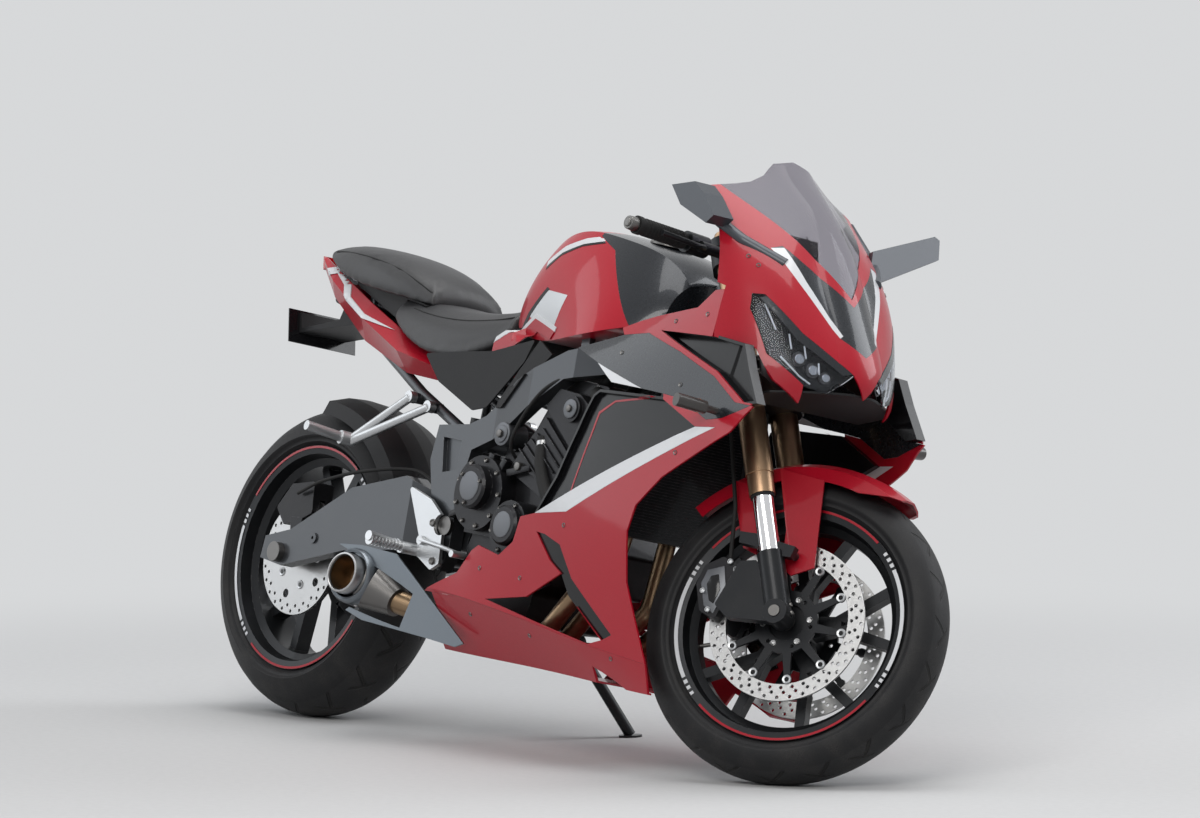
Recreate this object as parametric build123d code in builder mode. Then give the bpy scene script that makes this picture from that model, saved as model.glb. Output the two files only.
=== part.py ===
from build123d import *
import math
import os

# A full-faired sport motorcycle with an inline four-cylinder engine, parked on its side stand
# with the steering on its left stop. Everything is modelled upright and straight ahead, with
# X forwards from the rear axle, Y to the left and Z up from the road, in millimetres.
# The last section turns the steering, leans the machine and writes each piece.

# Driving dimensions of the whole machine
WHEELBASE = 1450.0
RAKE = 25.5
TRAIL = 101.0
LEAN = 12.2
STEER_STOP = 29.4
BODY_CENTRE_X = 704.5
BODY_CENTRE_Y = 182.7

# Wheels and tyres
FRONT_TYRE_R, FRONT_TYRE_HALF, FRONT_CROWN_R = 300.0, 60.0, 62.0
REAR_TYRE_R, REAR_TYRE_HALF, REAR_CROWN_R = 315.0, 90.0, 95.0
RIM_FLANGE_R = 230.0
RIM_SEAT_R = 217.0
RIM_WELL_R = 203.0
RIM_WALL = 9.0
FRONT_RIM_HALF, REAR_RIM_HALF = 50.0, 76.0
TYRE_WALL = 9.0
SPOKES = 5
AXLE_R = 11.0
AXLE_GAP = 0.3

# Brakes
FRONT_DISC_R, REAR_DISC_R = 155.0, 120.0
DISC_THICK = 5.0
FRONT_DISC_Y, REAR_DISC_Y = 58.0, -84.5
ROTOR_BAND = 33.0
DISC_GAP = 5.0

# Fork
FORK_HALF = 106.0
SLIDER_R, FORK_TUBE_R = 20.5, 27.0
FOOT_TOP, SEAL_TOP, FORK_TOP = 125.0, 255.0, 782.0
LOWER_CLAMP, UPPER_CLAMP = 500.0, 764.0
STEM_R = 16.0

# Drive
CHAIN_Y = 106.0
CHAIN_PITCH = 15.875
REAR_TEETH, FRONT_TEETH = 42, 15
OUTPUT_SHAFT = (628.0, 425.0)
PIVOT = (546.0, 407.0)

SKIN = 4.0
SEAT = 0.3
BOBBIN_R = 3.4

rake = math.radians(RAKE)
FORK_OFFSET = FRONT_TYRE_R * math.sin(rake) - TRAIL * math.cos(rake)
UP_FORK = Vector(-math.sin(rake), 0, math.cos(rake))
AHEAD_FORK = Vector(math.cos(rake), 0, math.sin(rake))
FRONT_AXLE = Vector(WHEELBASE, 0, FRONT_TYRE_R)
REAR_AXLE = Vector(0, 0, REAR_TYRE_R)
FORK = Plane(origin=FRONT_AXLE, x_dir=AHEAD_FORK, z_dir=UP_FORK)
STEER_AXIS = Axis(FRONT_AXLE - AHEAD_FORK * FORK_OFFSET, UP_FORK)

pieces = {}


def keep(name, part, body):
    """Remember a finished piece under its name and the body that it moves with."""
    part.label = name
    pieces[name] = (part, body)


def both_sides(part):
    """The piece and its mirror image on the other side of the machine."""
    return Compound(children=[*part.solids(), *mirror(part, about=Plane.XZ).solids()])


def side_slab(outline, inner, outer, corner=0.0):
    """A flat piece cut to an outline of (x, z) points, from y = inner to y = outer."""
    with BuildPart() as made:
        with BuildSketch(Plane.XZ.offset(-inner)) as face:
            Polygon(*outline, align=None)
            if corner:
                fillet(face.vertices(), corner)
        extrude(amount=inner - outer)
    return made.part


def tube(points, radius, bend):
    """A round bar along straight runs joined by arcs."""
    with BuildPart() as made:
        with BuildLine() as path:
            if len(points) > 2:
                FilletPolyline(*points, radius=bend)
            else:
                Line(*points)
        with BuildSketch(Plane(origin=path.line @ 0, z_dir=path.line % 0)):
            Circle(radius)
        sweep()
    return made.part


def bar(start, end, radius):
    """A straight round bar between two points."""
    run = Vector(*end) - Vector(*start)
    with BuildPart() as made:
        with BuildSketch(Plane(origin=start, z_dir=run)):
            Circle(radius)
        extrude(amount=run.length)
    return made.part


def across(x, z, radius, y_from, y_to, bore=0.0):
    """A round boss or ring whose axis runs across the machine."""
    with BuildPart() as made:
        with BuildSketch(Plane(origin=(x, y_from, z), x_dir=(1, 0, 0), z_dir=(0, 1, 0))):
            Circle(radius)
            if bore:
                Circle(bore, mode=Mode.SUBTRACT)
        extrude(amount=y_to - y_from)
    return made.part


# Wheels
def tyre(radius, half, crown, rim_half):
    """Hollow tyre on the rim's bead seats, standing on the XZ plane's origin."""
    seat = rim_half - 6
    bead = rim_half - 5.4
    bulge = rim_half + 0.45 * (half - rim_half)
    shoulder = radius - crown + math.sqrt(crown**2 - half**2)
    inner_crown = crown - TYRE_WALL
    inner_half = half - TYRE_WALL
    inner_shoulder = radius - crown + math.sqrt(inner_crown**2 - inner_half**2)
    with BuildPart() as made:
        with BuildSketch(Plane.XY):
            with BuildLine():
                ThreePointArc((shoulder, half), (radius, 0), (shoulder, -half))
                ThreePointArc((shoulder, -half), (RIM_FLANGE_R + 12, -bulge), (RIM_FLANGE_R + 1.5, -bead))
                Line((RIM_FLANGE_R + 1.5, -bead), (RIM_SEAT_R + SEAT, SEAT - seat))
                Line((RIM_SEAT_R + SEAT, SEAT - seat), (RIM_SEAT_R + SEAT, TYRE_WALL + 2 - seat))
                Line((RIM_SEAT_R + SEAT, TYRE_WALL + 2 - seat), (inner_shoulder, -inner_half))
                ThreePointArc(
                    (inner_shoulder, -inner_half), (radius - TYRE_WALL, 0), (inner_shoulder, inner_half)
                )
                Line((inner_shoulder, inner_half), (RIM_SEAT_R + SEAT, seat - TYRE_WALL - 2))
                Line((RIM_SEAT_R + SEAT, seat - TYRE_WALL - 2), (RIM_SEAT_R + SEAT, seat - SEAT))
                Line((RIM_SEAT_R + SEAT, seat - SEAT), (RIM_FLANGE_R + 1.5, bead))
                ThreePointArc((RIM_FLANGE_R + 1.5, bead), (RIM_FLANGE_R + 12, bulge), (shoulder, half))
            make_face()
        revolve(axis=Axis.Y)
    return made.part


def rim(rim_half, hub_half, hub_r, split_r, fork_angle, depth):
    """Cast wheel with five forked spokes, about the Y axis."""
    seat = rim_half - 6
    with BuildPart() as made:
        with BuildSketch(Plane.XY):
            with BuildLine():
                Polyline(
                    (RIM_FLANGE_R, rim_half),
                    (RIM_FLANGE_R, rim_half - 5),
                    (RIM_SEAT_R, seat),
                    (RIM_SEAT_R, seat - 18),
                    (RIM_WELL_R, seat - 24),
                    (RIM_WELL_R, 24 - seat),
                    (RIM_SEAT_R, 18 - seat),
                    (RIM_SEAT_R, -seat),
                    (RIM_FLANGE_R, 5 - rim_half),
                    (RIM_FLANGE_R, -rim_half),
                    (RIM_SEAT_R - 4, 2 - rim_half),
                    (RIM_SEAT_R - RIM_WALL, 20 - seat),
                    (RIM_WELL_R - RIM_WALL, 28 - seat),
                    (RIM_WELL_R - RIM_WALL, seat - 28),
                    (RIM_SEAT_R - RIM_WALL, seat - 20),
                    (RIM_SEAT_R - 4, rim_half - 2),
                    close=True,
                )
            make_face()
        revolve(axis=Axis.Y)
        with BuildSketch(Plane.XZ.offset(-hub_half)):
            Circle(hub_r)
        extrude(amount=2 * hub_half)
        rim_r = RIM_WELL_R - RIM_WALL + 3
        reach = math.radians(fork_angle)
        with BuildSketch(Plane.XZ.offset(-depth / 2)):
            with PolarLocations(0, SPOKES, start_angle=90):
                Polygon((hub_r - 6, 22), (split_r, 15), (split_r, -15), (hub_r - 6, -22), align=None)
                for side in (1, -1):
                    Polygon(
                        (split_r - 14, 15 * side),
                        (split_r + 8, 2 * side),
                        (rim_r * math.cos(reach * 0.82), rim_r * math.sin(reach * 0.82) * side),
                        (rim_r * math.cos(reach * 1.18), rim_r * math.sin(reach * 1.18) * side),
                        align=None,
                    )
        extrude(amount=depth)
        with BuildSketch(Plane.XZ.offset(-hub_half)):
            Circle(AXLE_R + AXLE_GAP)
        extrude(amount=2 * hub_half, mode=Mode.SUBTRACT)
    return made.part


def rotor(radius, band, rows):
    """Drilled brake ring about the Y axis, centred on it."""
    with BuildPart() as made:
        with BuildSketch(Plane.XZ.offset(-DISC_THICK / 2)):
            Circle(radius)
            Circle(radius - band, mode=Mode.SUBTRACT)
            for row, (inset, count, turn) in enumerate(rows):
                with PolarLocations(radius - inset, count, start_angle=turn):
                    Circle(3.5, mode=Mode.SUBTRACT)
        extrude(amount=DISC_THICK)
    return made.part


def carrier(outer_r, arms, thick):
    """Black centre of a floating disc: a bolt ring with arms out to the rotor's buttons."""
    with BuildPart() as made:
        with BuildSketch(Plane.XZ.offset(-thick / 2)):
            Circle(62)
            with PolarLocations(0, arms):
                Polygon((56, 9), (outer_r, 5), (outer_r, -5), (56, -9), align=None)
            with PolarLocations(outer_r - 8, arms):
                Circle(8)
            Circle(36, mode=Mode.SUBTRACT)
            with PolarLocations(50, 6):
                Circle(4, mode=Mode.SUBTRACT)
        extrude(amount=thick)
    return made.part


FRONT_HOLES = ((7, 36, 0), (16.5, 36, 5), (26, 36, 2.5))
REAR_HOLES = ((7, 24, 0), (18, 24, 7.5))

front_rim = rim(FRONT_RIM_HALF, 56.0, 40.0, 92.0, 16.0, 26.0)
front_tyre = tyre(FRONT_TYRE_R, FRONT_TYRE_HALF, FRONT_CROWN_R, FRONT_RIM_HALF)
front_rotor = rotor(FRONT_DISC_R, ROTOR_BAND, FRONT_HOLES).moved(Location((0, FRONT_DISC_Y, 0)))
carrier_y = FRONT_DISC_Y + 1
front_carrier = carrier(FRONT_DISC_R - ROTOR_BAND - SEAT, 10, 6).moved(Location((0, carrier_y, 0)))
at_front = Location(FRONT_AXLE)
at_rear = Location(REAR_AXLE)
keep("front_rim", front_rim.moved(at_front), "front_wheel")
keep("front_tyre", front_tyre.moved(at_front), "front_wheel")
keep("front_rotors", both_sides(front_rotor).moved(at_front), "front_wheel")
keep("front_disc_carriers", both_sides(front_carrier).moved(at_front), "front_wheel")

HUB_REAR = 82.0
rear_rim = rim(REAR_RIM_HALF, HUB_REAR, 46.0, 98.0, 17.0, 34.0)
rear_tyre = tyre(REAR_TYRE_R, REAR_TYRE_HALF, REAR_CROWN_R, REAR_RIM_HALF)
keep("rear_rim", rear_rim.moved(at_rear), "rear_wheel")
keep("rear_tyre", rear_tyre.moved(at_rear), "rear_wheel")
with BuildPart() as rear_disc:
    with BuildSketch(Plane.XZ.offset(-REAR_DISC_Y - DISC_THICK / 2)):
        Circle(REAR_DISC_R)
        with PolarLocations(82, 5, start_angle=36):
            Circle(9, mode=Mode.SUBTRACT)
        Circle(AXLE_R + 8, mode=Mode.SUBTRACT)
        for inset, count, turn in REAR_HOLES:
            with PolarLocations(REAR_DISC_R - inset, count, start_angle=turn):
                Circle(3.5, mode=Mode.SUBTRACT)
    extrude(amount=DISC_THICK)
keep("rear_disc", rear_disc.part.moved(at_rear), "rear_wheel")


# Final drive
def pitch_radius(teeth):
    """Radius of the chain's pins round a sprocket."""
    return CHAIN_PITCH / 2 / math.sin(math.pi / teeth)


SPROCKET_THICK = 6.0
ROLLER_R = 5.0
CHAIN_HALF = 10.0
LINK_HALF = 7.5
REAR_PITCH_R, FRONT_PITCH_R = pitch_radius(REAR_TEETH), pitch_radius(FRONT_TEETH)
with BuildPart() as rear_sprocket:
    with BuildSketch(Plane.XZ.offset(-CHAIN_Y - SPROCKET_THICK / 2)):
        Circle(REAR_PITCH_R - ROLLER_R - 4)
        with PolarLocations(REAR_PITCH_R - ROLLER_R - 4, REAR_TEETH):
            RegularPolygon(4.0, 3)
        with PolarLocations(70, 5):
            Circle(15, mode=Mode.SUBTRACT)
    extrude(amount=SPROCKET_THICK)
    with BuildSketch(Plane.XZ.offset(-CHAIN_Y + SPROCKET_THICK / 2)):
        Circle(52)
    extrude(amount=CHAIN_Y - SPROCKET_THICK / 2 - HUB_REAR)
    with BuildSketch(Plane.XZ.offset(-CHAIN_Y - SPROCKET_THICK / 2)):
        Circle(AXLE_R + AXLE_GAP)
    extrude(amount=CHAIN_Y, mode=Mode.SUBTRACT)
keep("rear_sprocket", rear_sprocket.part.moved(at_rear), "rear_wheel")

chain_rise = math.atan2(OUTPUT_SHAFT[1] - REAR_TYRE_R, OUTPUT_SHAFT[0])
with BuildPart() as chain:
    with BuildSketch(Plane.XZ.offset(-CHAIN_Y - CHAIN_HALF)):
        for grow, mode in ((LINK_HALF, Mode.ADD), (-LINK_HALF, Mode.SUBTRACT)):
            with BuildSketch(mode=mode):
                with Locations((0, REAR_TYRE_R)):
                    Circle(REAR_PITCH_R + grow)
                with Locations(OUTPUT_SHAFT):
                    Circle(FRONT_PITCH_R + grow)
                make_hull()
    extrude(amount=2 * CHAIN_HALF)
    with BuildSketch(Plane.XZ.offset(-CHAIN_Y - CHAIN_HALF + 3.5)):
        with Locations((0, REAR_TYRE_R)):
            Circle(REAR_PITCH_R - ROLLER_R)
    extrude(amount=2 * CHAIN_HALF - 7, mode=Mode.SUBTRACT)
keep("chain", chain.part, "chassis")

# Fork, steering head and bars, along the fork's own plane


def on_fork(x, y, t):
    """A point of the fork plane in the machine's own axes."""
    return tuple(FORK.from_local_coords((x, y, t)))


def fork_leg(radius, low, high, bore=0.0):
    """One round length of the right fork leg."""
    with BuildPart() as made:
        with BuildSketch(FORK.offset(low)):
            with Locations((0, -FORK_HALF)):
                Circle(radius)
                if bore:
                    Circle(bore, mode=Mode.SUBTRACT)
        extrude(amount=high - low)
    return made.part


with BuildPart() as fork_tube:
    for radius, low, high in (
        (FORK_TUBE_R - 2, SEAL_TOP - 12, SEAL_TOP + 30),
        (FORK_TUBE_R, SEAL_TOP + 30, FORK_TOP),
    ):
        with BuildSketch(FORK.offset(low)):
            with Locations((0, -FORK_HALF)):
                Circle(radius)
        extrude(amount=high - low)
keep("fork_tubes", both_sides(fork_tube.part), "steering")
keep("fork_sliders", both_sides(fork_leg(SLIDER_R, FOOT_TOP, SEAL_TOP - 12)), "steering")

FOOT_INNER, FOOT_OUTER = 82.0, 132.0
with BuildPart() as fork_foot:
    with BuildSketch(FORK.offset(-8)):
        with Locations((0, -FORK_HALF)):
            Circle(SLIDER_R + 5)
    extrude(amount=FOOT_TOP + 8)
    add(across(FRONT_AXLE.X, FRONT_AXLE.Z, 24, -FOOT_OUTER, -FOOT_INNER))
    add(
        side_slab(
            [(1450, 282), (1352, 272), (1322, 292), (1346, 384), (1378, 392), (1425, 345)],
            -118,
            -94,
            6,
        )
    )
    add(side_slab([(1385, 408), (1440, 412), (1444, 434), (1380, 440)], -112, -92))
    add(side_slab([(1400, 418), (1330, 420), (1326, 442), (1392, 446)], -112, -92))
    add(across(1434, 423, 8, -92, -76.3))
    add(across(1336, 431, 8, -92, -76.3))
    add(fork_leg(SLIDER_R + SEAT, FOOT_TOP, SEAL_TOP), mode=Mode.SUBTRACT)
    add(
        across(FRONT_AXLE.X, FRONT_AXLE.Z, AXLE_R + SEAT, -FOOT_OUTER - 1, -FOOT_INNER + 5),
        mode=Mode.SUBTRACT,
    )
keep("fork_feet", both_sides(fork_foot.part), "steering")
with BuildPart() as front_axle:
    add(across(FRONT_AXLE.X, FRONT_AXLE.Z, AXLE_R, -FOOT_OUTER - 3, FOOT_OUTER + 3))
    add(across(FRONT_AXLE.X, FRONT_AXLE.Z, 17, -FOOT_INNER + 6, -62))
    add(across(FRONT_AXLE.X, FRONT_AXLE.Z, 17, 62, FOOT_INNER - 6))
keep("front_axle", front_axle.part, "steering")

with BuildPart() as triple_clamps:
    for height, thick in ((LOWER_CLAMP, 42), (UPPER_CLAMP, 20)):
        with BuildSketch(FORK.offset(height - thick / 2)):
            with BuildSketch():
                with Locations((0, FORK_HALF), (0, -FORK_HALF)):
                    Circle(FORK_TUBE_R + 9)
                with Locations((-FORK_OFFSET, 0)):
                    Circle(30)
                make_hull()
            with Locations((0, FORK_HALF), (0, -FORK_HALF)):
                Circle(FORK_TUBE_R, mode=Mode.SUBTRACT)
        extrude(amount=thick)
    for low, high, radius in (
        (LOWER_CLAMP, UPPER_CLAMP, STEM_R),
        (LOWER_CLAMP, LOWER_CLAMP + 40, STEM_R + 3.7),
        (UPPER_CLAMP - 56, UPPER_CLAMP, STEM_R + 3.7),
    ):
        with BuildSketch(FORK.offset(low)):
            with Locations((-FORK_OFFSET, 0)):
                Circle(radius)
        extrude(amount=high - low)
keep("triple_clamps", triple_clamps.part, "steering")

# Handlebars: clip-on clamps under the upper clamp, each with its bar, grip and controls
BAR_T = 735.0
BAR_R = 11.0
GRIP_R = 16.5
bar_root = Vector(1128, -124, 966)
bar_end = Vector(1031, -317, 935)
bar_way = (bar_end - bar_root).normalized()
grip_start = bar_root + bar_way * 108
with BuildPart() as clip_on:
    with BuildSketch(FORK.offset(BAR_T - 17)):
        with Locations((0, -FORK_HALF)):
            Circle(FORK_TUBE_R + 8)
            Circle(FORK_TUBE_R, mode=Mode.SUBTRACT)
    extrude(amount=34)
    add(bar(bar_root - bar_way * -14, bar_end, BAR_R))
    add(fork_leg(FORK_TUBE_R, BAR_T - 40, BAR_T + 40), mode=Mode.SUBTRACT)
with BuildPart() as grip:
    with BuildSketch(Plane(origin=grip_start, z_dir=bar_way)):
        Circle(GRIP_R)
        Circle(BAR_R, mode=Mode.SUBTRACT)
    extrude(amount=(bar_end - grip_start).length)
    with BuildSketch(Plane(origin=bar_end, z_dir=bar_way)):
        Circle(GRIP_R + 1.5)
    extrude(amount=10)
keep("grips", both_sides(grip.part), "steering")

lever_root = bar_root + bar_way * 78 + Vector(30, 0, -4)
with BuildPart() as bar_control:
    with BuildSketch(Plane(origin=bar_root + bar_way * 52, z_dir=bar_way)):
        Circle(21)
    extrude(amount=50)
    add(bar(lever_root - bar_way * 22, lever_root + bar_way * 20, 11))
    lever_bend = lever_root + bar_way * 45 + Vector(18, 0, -3)
    add(tube([tuple(lever_root), tuple(lever_bend), tuple(bar_end + Vector(46, 8, -2))], 5.5, 40))
keep("handlebars", both_sides(clip_on.part + bar_control.part), "steering")

# Front brake callipers, each astride its disc behind the fork leg
with BuildPart() as calliper:
    outline = [(1268, 368), (1262, 330), (1284, 280), (1318, 268), (1345, 380), (1300, 392)]
    add(side_slab(outline, -FRONT_DISC_Y - 34, -FRONT_DISC_Y + 30, 8))
    add(
        across(
            FRONT_AXLE.X,
            FRONT_AXLE.Z,
            FRONT_DISC_R + DISC_GAP,
            -FRONT_DISC_Y - DISC_THICK / 2 - DISC_GAP,
            -FRONT_DISC_Y + DISC_THICK / 2 + DISC_GAP,
        ),
        mode=Mode.SUBTRACT,
    )
keep("front_callipers", both_sides(calliper.part), "steering")

# Brake hoses from the lower clamp down behind each fork leg
HOSE_RUN = ((-84, -92, 136), (-60, -92, 240), (-48, -92, 400), (-18, -60, 476.6))
hose = tube([on_fork(*point) for point in HOSE_RUN], 4, 60) - calliper.part
keep("brake_hoses", both_sides(hose), "steering")

# Front mudguard: a curved blade over the tyre, with a stay down each fork leg
GUARD_R = FRONT_TYRE_R + 18
with BuildPart() as front_mudguard:
    with BuildSketch(Plane.XY):
        with BuildLine():
            Polyline(
                (GUARD_R - 40, -76), (GUARD_R - 12, -68), (GUARD_R + 4, -34), (GUARD_R + 10, 0),
                (GUARD_R + 4, 34), (GUARD_R - 12, 68), (GUARD_R - 40, 76),
                (GUARD_R - 40, 72), (GUARD_R - 15, 64), (GUARD_R, 32), (GUARD_R + 6, 0),
                (GUARD_R, -32), (GUARD_R - 15, -64), (GUARD_R - 40, -72), close=True,
            )
        make_face()
    revolve(axis=Axis.Y, revolution_arc=82)
guard = front_mudguard.part.rotate(Axis.Y, -144).moved(at_front)
GUARD_TRIM = [(1482, 400), (1482, 566), (1560, 574), (1700, 588), (1700, 400)]
guard = guard - side_slab(GUARD_TRIM, -100, 100)
with BuildPart() as stay:
    add(side_slab([(1350, 586), (1445, 580), (1478, 410), (1436, 386), (1412, 400), (1400, 470)], -76, -72))
    add(side_slab([(1262, 545), (1330, 545), (1356, 412), (1326, 420)], -76, -72))
stays = both_sides(stay.part)
keep("front_mudguard", guard + stays.solids(), "steering")

with BuildPart() as stem_hole:
    with BuildSketch(FORK.offset(LOWER_CLAMP - 60)):
        with Locations((-FORK_OFFSET, 0)):
            Circle(STEM_R + 4)
    extrude(amount=UPPER_CLAMP - LOWER_CLAMP + 120)
STEM_ROOM = stem_hole.part

# Frame: two spars that bow out round the engine, the pivot plates and the steering head
HEAD_LOW, HEAD_HIGH = LOWER_CLAMP + 24, UPPER_CLAMP - 40
SPAR_SIDE = [
    (1104, 808), (1000, 804), (852, 772), (700, 706), (610, 632), (560, 612), (465, 605), (455, 535),
    (492, 420), (500, 330), (545, 318), (562, 360), (562, 480), (580, 562), (650, 590), (720, 632),
    (852, 716), (1000, 742), (1086, 738),
]
SPAR_PLAN = [
    (1120, 40), (1075, 92), (1000, 138), (880, 168), (760, 172), (640, 150), (440, 150),
    (440, 119), (620, 119), (760, 138), (880, 134), (1000, 104), (1062, 60), (1062, 40),
]
with BuildPart() as frame:
    with BuildSketch(Plane.XY.offset(280)):
        Polygon(*SPAR_PLAN, align=None)
        mirror(about=Plane.XZ)
    extrude(amount=600)
    with BuildSketch(Plane.XZ.offset(-200)):
        Polygon(*SPAR_SIDE, align=None)
    extrude(amount=400, mode=Mode.INTERSECT)
    add(side_slab([(1060, 745), (1120, 736), (1158, 786), (1146, 808), (1060, 808)], -54, 54))
    head_plane = Plane(origin=FRONT_AXLE - AHEAD_FORK * FORK_OFFSET, x_dir=AHEAD_FORK, z_dir=UP_FORK)
    with BuildSketch(head_plane.offset(HEAD_LOW)):
        Circle(33)
    extrude(amount=HEAD_HIGH - HEAD_LOW)
    with BuildSketch(head_plane.offset(HEAD_LOW - 60)):
        Circle(STEM_R + 4)
    extrude(amount=HEAD_HIGH - HEAD_LOW + 140, mode=Mode.SUBTRACT)
    add(side_slab([(486, 582), (545, 578), (545, 520), (500, 512)], -160, -140), mode=Mode.SUBTRACT)
    add(side_slab([(486, 582), (545, 578), (545, 520), (500, 512)], 140, 160), mode=Mode.SUBTRACT)
    add(across(PIVOT[0], PIVOT[1], 14, -160, 160), mode=Mode.SUBTRACT)
    add(across(520, 580, 15, -125, 125))
    add(across(520, 345, 14, -125, 88))

# Rear subframe: two rails on each side with cross bars
with BuildPart() as subframe:
    for side in (1, -1):
        front_rail = [(652, 116 * side, 640), (560, 110 * side, 672), (420, 104 * side, 700)]
        add(tube([*front_rail, (180, 84 * side, 790), (-60, 52 * side, 850)], 11, 40))
        add(tube([(500, 114 * side, 600), (330, 100 * side, 668), (120, 78 * side, 770)], 11, 60))
    add(bar((300, -96, 742), (300, 96, 742), 9))
    add(bar((60, -70, 820), (60, 70, 820), 9))
    add(bar((420, -104, 700), (420, 104, 700), 11))
    for side in (1, -1):
        add(across(333, 656, 11, min(100 * side, 122 * side), max(100 * side, 122 * side)))
        add(across(398, 640, 11, min(100 * side, 122 * side), max(100 * side, 122 * side)))

# Engine: crankcase with sump, and the four cylinders leaning forwards with their head
CASE_SIDE = [
    (590, 505), (700, 530), (850, 470), (885, 400), (850, 320), (800, 300), (790, 240), (640, 236),
    (615, 300), (590, 350),
]
with BuildPart() as crankcase:
    add(side_slab(CASE_SIDE, -112, 88, 12))
    add(side_slab([(690, 525), (850, 470), (885, 400), (850, 320), (700, 310)], 88, 118, 10))
    add(side_slab([(590, 505), (700, 530), (850, 470), (885, 400), (850, 320), (600, 330)], -132, -112, 12))
    add(across(PIVOT[0], PIVOT[1], 60, -140, 88), mode=Mode.SUBTRACT)
    add(side_slab([(612, 300), (668, 300), (668, 240), (612, 240)], 60, 104))
    add(bar((640, 98, 266), (640, 120, 213.6), 6))
    with BuildSketch(Plane(origin=(640, 142, 225), z_dir=(0, 0.8, 0.6)).offset(-14)):
        Circle(21)
    extrude(amount=-10)
    with BuildSketch(Plane(origin=(640, 142, 225), z_dir=(0, 0.8, 0.6)).offset(-16)):
        Circle(8)
    extrude(amount=31)
    with BuildSketch(Plane(origin=(640, 142, 225), z_dir=(0, 0.8, 0.6)).offset(14)):
        Circle(13)
    extrude(amount=5)
    add(bar((770, -27, 240), (770, -27, 164), 4))
    add(side_slab([(630, 500), (700, 520), (690, 590), (640, 590)], -108, -72))
    add(across(664, 592, 22, -115, -50))
    add(across(OUTPUT_SHAFT[0], OUTPUT_SHAFT[1], 16, 88, 112))
    add(across(OUTPUT_SHAFT[0], OUTPUT_SHAFT[1], 30, 103, 109))
keep("crankcase", crankcase.part, "chassis")

BANK_SIDE = [(720, 524.5), (848, 472.5), (925, 560), (800, 660)]
HEAD_SIDE = [(800, 660), (925, 560), (985, 640), (950, 712), (850, 722)]
with BuildPart() as cylinders:
    add(side_slab(BANK_SIDE, -150, 150))
    add(side_slab([(728, 545), (865, 500), (915, 555), (805, 640)], -158, 158))
    add(side_slab(HEAD_SIDE, -132, 132, 8))
    add(side_slab([(800, 660), (925, 560), (975, 640), (900, 690), (836, 698)], -158, 158, 8))
    add(across(887, 660, 26, -166, -158))
keep("cylinders", cylinders.part, "chassis")

with BuildPart() as clutch_cover:
    add(across(646, 478, 74, -168, -132.3))
    add(across(644, 488, 44, -190, -168))
    add(side_slab([(600, 400), (700, 395), (700, 420), (600, 430)], -150, -132.3))
    chamfer(clutch_cover.faces().sort_by(Axis.Y)[0].edges(), 5)
with BuildPart() as right_cover:
    add(across(769, 416, 54, -178, -132.3))
    add(across(769, 420, 40, -192, -178))
    chamfer(right_cover.faces().sort_by(Axis.Y)[0].edges(), 5)
with BuildPart() as generator_cover:
    add(across(775, 400, 72, 118.3, 176))
    chamfer(generator_cover.faces().sort_by(Axis.Y)[-1].edges(), 8)
SPROCKET_COVER = [(612, 482), (716, 482), (716, 462), (692, 442), (692, 370), (612, 365)]
sprocket_cover = side_slab(SPROCKET_COVER, 118.3, 140, 6)
engine_covers = [clutch_cover.part, right_cover.part, generator_cover.part, sprocket_cover]
keep("engine_covers", Compound(children=[cover.solids()[0] for cover in engine_covers]), "chassis")

# Radiator ahead of the engine, and the four header pipes that sweep under it
with BuildPart() as radiator:
    with BuildSketch(Plane.YZ.offset(1040)):
        Rectangle(300, 260)
    extrude(amount=34)
radiator_piece = radiator.part.moved(Location((0, 0, 560)))
for lug_y in (-82, 74):
    lug = side_slab([(1046, 688), (1070, 688), (1070, 737.5), (1052, 739)], lug_y, lug_y + 8)
    radiator_piece = radiator_piece + lug
keep("radiator", radiator_piece, "chassis")

CAN_FRONT, CAN_REAR = Vector(436, -162, 247), Vector(304, -205, 286)
can_way = (CAN_REAR - CAN_FRONT).normalized()
# columns: y at the head, at the bend and at the foot; bend height; y and height at the collector
HEADER_ROWS = (
    (-120, -150, -152, 330, 230, -80, 205),
    (-48, -100, -104, 310, 216, -40, 205),
    (48, 20, -4, 300, 206, 0, 204),
    (120, 90, 60, 300, 206, 40, 204),
)
with BuildPart() as headers:
    for head_y, turn_y, low_y, turn_z, low_z, end_y, end_z in HEADER_ROWS:
        run = [(955.3, head_y, 599.7), (1004, head_y, 563), (1000, turn_y, turn_z), (915, low_y, low_z)]
        add(tube([*run, (740, end_y, end_z)], 18, 42))
    add(side_slab([(744, 186), (744, 232), (560, 232), (560, 196), (600, 186)], -104, 62, 8))
    add(bar((575, -76, 214), tuple(CAN_FRONT + can_way * 10), 24))
    with BuildSketch(Plane(origin=CAN_FRONT - can_way * SEAT, z_dir=can_way)):
        Circle(70)
    extrude(amount=80, mode=Mode.SUBTRACT)
keep("headers", headers.part, "chassis")

# Silencer with its lip, and the plate ahead of it
with BuildPart() as silencer:
    with BuildSketch(Plane(origin=CAN_FRONT, z_dir=can_way)):
        Circle(54)
    extrude(amount=(CAN_REAR - CAN_FRONT).length - 20)
    with BuildSketch(Plane(origin=CAN_REAR - can_way * 20, z_dir=can_way)):
        Circle(46)
    extrude(amount=24)
    with BuildSketch(Plane(origin=CAN_REAR + can_way * 4, z_dir=can_way)):
        Circle(39)
    extrude(amount=-120, mode=Mode.SUBTRACT)
keep("silencer", silencer.part, "chassis")

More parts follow.
